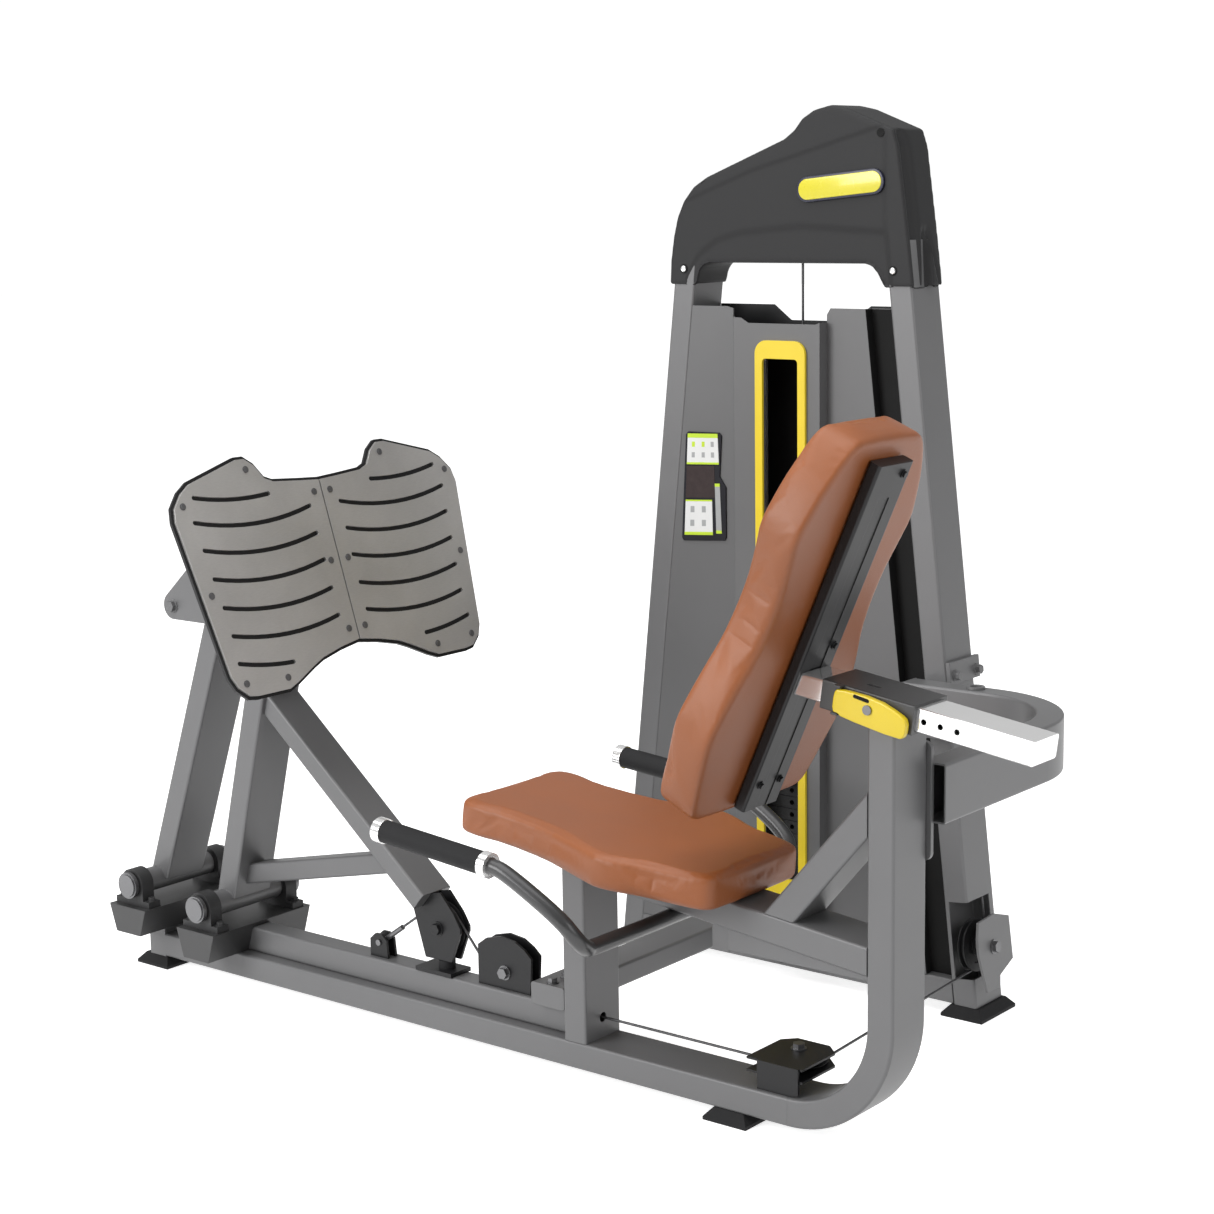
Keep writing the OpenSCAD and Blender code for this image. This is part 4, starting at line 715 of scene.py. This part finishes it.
rise = heading(ANCHOR, ARM_AXLE) + math.degrees(math.asin(RADIUS / math.dist(ARM_AXLE, ANCHOR)))
fall = heading(ARM_AXLE, FIXED_AXLE) - math.degrees(math.asin(2 * RADIUS / math.dist(FIXED_AXLE, ARM_AXLE)))
ferrule = (ANCHOR[0] + FERRULE_REACH * math.cos(math.radians(rise)),
           ANCHOR[1] + FERRULE_REACH * math.sin(math.radians(rise)))
up_y = WHEEL[1] + RADIUS
lift_point = (WHEEL[0] - (TOP_Z + 5 - WHEEL[2]) * LEAN_TAN, TOP_Z + 5)
rear_top = (lift_point[0] - RADIUS * math.cos(math.radians(LEAN)),
            lift_point[1] - RADIUS * math.sin(math.radians(LEAN)))


def line(a, b, steps=14):
    return [row(*(a[k] + (b[k] - a[k]) * i / steps for k in range(3))) for i in range(steps + 1)]


def flat(c, y, a, b, steps=14):
    out = []
    for t in spaced(a, b, steps):
        x, z = polar(c, t)
        out.append(row(x, y, z))
    return out


ROPE = FINISH["wire_rope"]
arm_in, arm_out = polar(ARM_AXLE, rise + 90), polar(ARM_AXLE, fall + 90)
fixed_in = polar(FIXED_AXLE, fall - 90)


def rope(name, points):
    return tube(name, points, ROPE_R, ROPE, ROPE_SIDES)


run_a = rope("rope_anchor_run", line((ferrule[0], 0, ferrule[1]), (arm_in[0], 0, arm_in[1])))
run_b = rope("rope_arm_turn", flat(ARM_AXLE, 0, rise + 90, fall + 90))
run_c = rope("rope_arm_run", line((arm_out[0], 0, arm_out[1]), (fixed_in[0], 0, fixed_in[1])))
corner = []
for t in spaced(-90, -90 + EXIT, 14):
    x, y = polar((CORNER_X, RADIUS), t)
    corner.append(row(x, y, CABLE_Z))
tower = []
for t in spaced(-90, 0, 14):
    up = RADIUS * math.sin(math.radians(t))
    tower.append(row(WHEEL[0] - up * math.sin(math.radians(LEAN)),
                     WHEEL[1] + RADIUS * math.cos(math.radians(t)),
                     WHEEL[2] + up * math.cos(math.radians(LEAN))))
route = flat(FIXED_AXLE, 0, fall - 90, -90, 6) + corner + tower + flat(rear_top, up_y, LEAN, 90)
route += flat((FRONT_TOP_X, TOP_Z), MID_Y, 90, 180)
run_d = rope("rope_frame_run", route)
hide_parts("main_cable")
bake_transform(run_a)
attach(run_b, "press_arm")
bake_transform(run_c)
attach(run_d, "frame")
hang = rope("rope_stack_run", line((STACK_X, MID_Y, STACK_LOW), (STACK_X, MID_Y, TOP_Z), 30))
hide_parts("stack_cable")
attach(hang, "frame")
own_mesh(hang)

# ---------------------------------------------------------------- small fittings


def plug(name, end, way, body):
    """Plastic plug in the open top of a 100 x 50 link tube."""
    turn = math.degrees(math.atan2(way[0], way[1]))
    o = prism(name, stadium(0, 0, 49, 99, 5, 0, 4), -8, 3.5, BLACK_PLUG,
              place(end[0], 0, end[1], turn) @ Matrix.Rotation(math.radians(90), 4, "X")
              @ Matrix.Scale(-1, 4, (0, 1, 0)), 2.5, 3)
    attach(o, body)
    return o


ARM_LENGTH, ARM_LEAN = 634, math.radians(14)
LINK_FOOT, LINK_TOP = (-1717, 190), (-1507, 770)
arm_way = (math.sin(ARM_LEAN), math.cos(ARM_LEAN))
plug("arm_plug", (R0[0] + ARM_LENGTH * arm_way[0], R0[1] + ARM_LENGTH * arm_way[1]), arm_way, "press_arm")
link_way = Vector((LINK_TOP[0] - LINK_FOOT[0], LINK_TOP[1] - LINK_FOOT[1])).normalized()
plug("link_plug", LINK_TOP, (link_way.x, link_way.y), "front_link")

# ---------------------------------------------------------------- stage

bpy.ops.mesh.primitive_plane_add(size=60, location=(0, 0, -0.0005))
floor = bpy.context.object
floor.name = "floor"
fm, _, fb = tree_of("floor_paper")
fb.inputs["Base Color"].default_value = (0.9, 0.9, 0.9, 1)
fb.inputs["Emission Color"].default_value = (1, 1, 1, 1)
fb.inputs["Emission Strength"].default_value = 0.72
fb.inputs["Roughness"].default_value = 0.9
fb.inputs["Specular IOR Level"].default_value = 0.1
floor.data.materials.append(fm)
floor.visible_diffuse = False

world = bpy.data.worlds.new("studio")
bpy.context.scene.world = world
world.use_nodes = True
wnt = world.node_tree
fill = wnt.nodes["Background"]
fill.inputs["Color"].default_value = (1, 1, 1, 1)
fill.inputs["Strength"].default_value = 0.5
paper = wnt.nodes.new("ShaderNodeBackground")
paper.inputs["Color"].default_value = (1, 1, 1, 1)
paper.inputs["Strength"].default_value = 1.02
path = wnt.nodes.new("ShaderNodeLightPath")
both = wnt.nodes.new("ShaderNodeMixShader")
wnt.links.new(path.outputs["Is Camera Ray"], both.inputs["Fac"])
wnt.links.new(fill.outputs["Background"], both.inputs[1])
wnt.links.new(paper.outputs["Background"], both.inputs[2])
wnt.links.new(both.outputs["Shader"], wnt.nodes["World Output"].inputs["Surface"])


def area(name, spot, aim, size, power):
    d = bpy.data.lights.new(name, "AREA")
    d.size = size
    d.energy = power
    o = bpy.data.objects.new(name, d)
    bpy.context.scene.collection.objects.link(o)
    o.location = spot
    o.rotation_euler = (Vector(aim) - Vector(spot)).to_track_quat("-Z", "Y").to_euler()
    return o


area("overhead", (-0.6, -1.0, 5.2), (0, 0, 0.6), 4.5, 170)
area("key", (-2.4, -5.6, 3.0), (0, 0, 0.8), 3.0, 250)
area("rim", (5.0, -0.6, 2.6), (0, 0.3, 0.8), 2.5, 50)

# ---------------------------------------------------------------- camera

AZ, EL, ROLL = math.radians(38.66683), math.radians(9.81615), math.radians(-0.89298)
# Sensor width in millimetres, and the focal length and the photograph's width in pixels
SENSOR, FOCAL_PX, PHOTO_PX = 36, 2403.102, 1214
EYE = row(1999.34, -3202.34, 1567.23)
ahead = Vector((-math.sin(AZ) * math.cos(EL), math.cos(AZ) * math.cos(EL), -math.sin(EL)))
right = Vector((math.cos(AZ), math.sin(AZ), 0))
upward = right.cross(ahead)
side = right * math.cos(ROLL) + upward * math.sin(ROLL)
top = upward * math.cos(ROLL) - right * math.sin(ROLL)
cam_data = bpy.data.cameras.new("camera")
cam_data.sensor_width = SENSOR
cam_data.lens = SENSOR * FOCAL_PX / PHOTO_PX
cam = bpy.data.objects.new("camera", cam_data)
bpy.context.scene.collection.objects.link(cam)
cam.matrix_world = Matrix.Translation(EYE) @ Matrix((side, top, -ahead)).transposed().to_4x4()
bpy.context.scene.camera = cam
bpy.context.scene.view_settings.view_transform = "Standard"

bpy.context.view_layer.update()
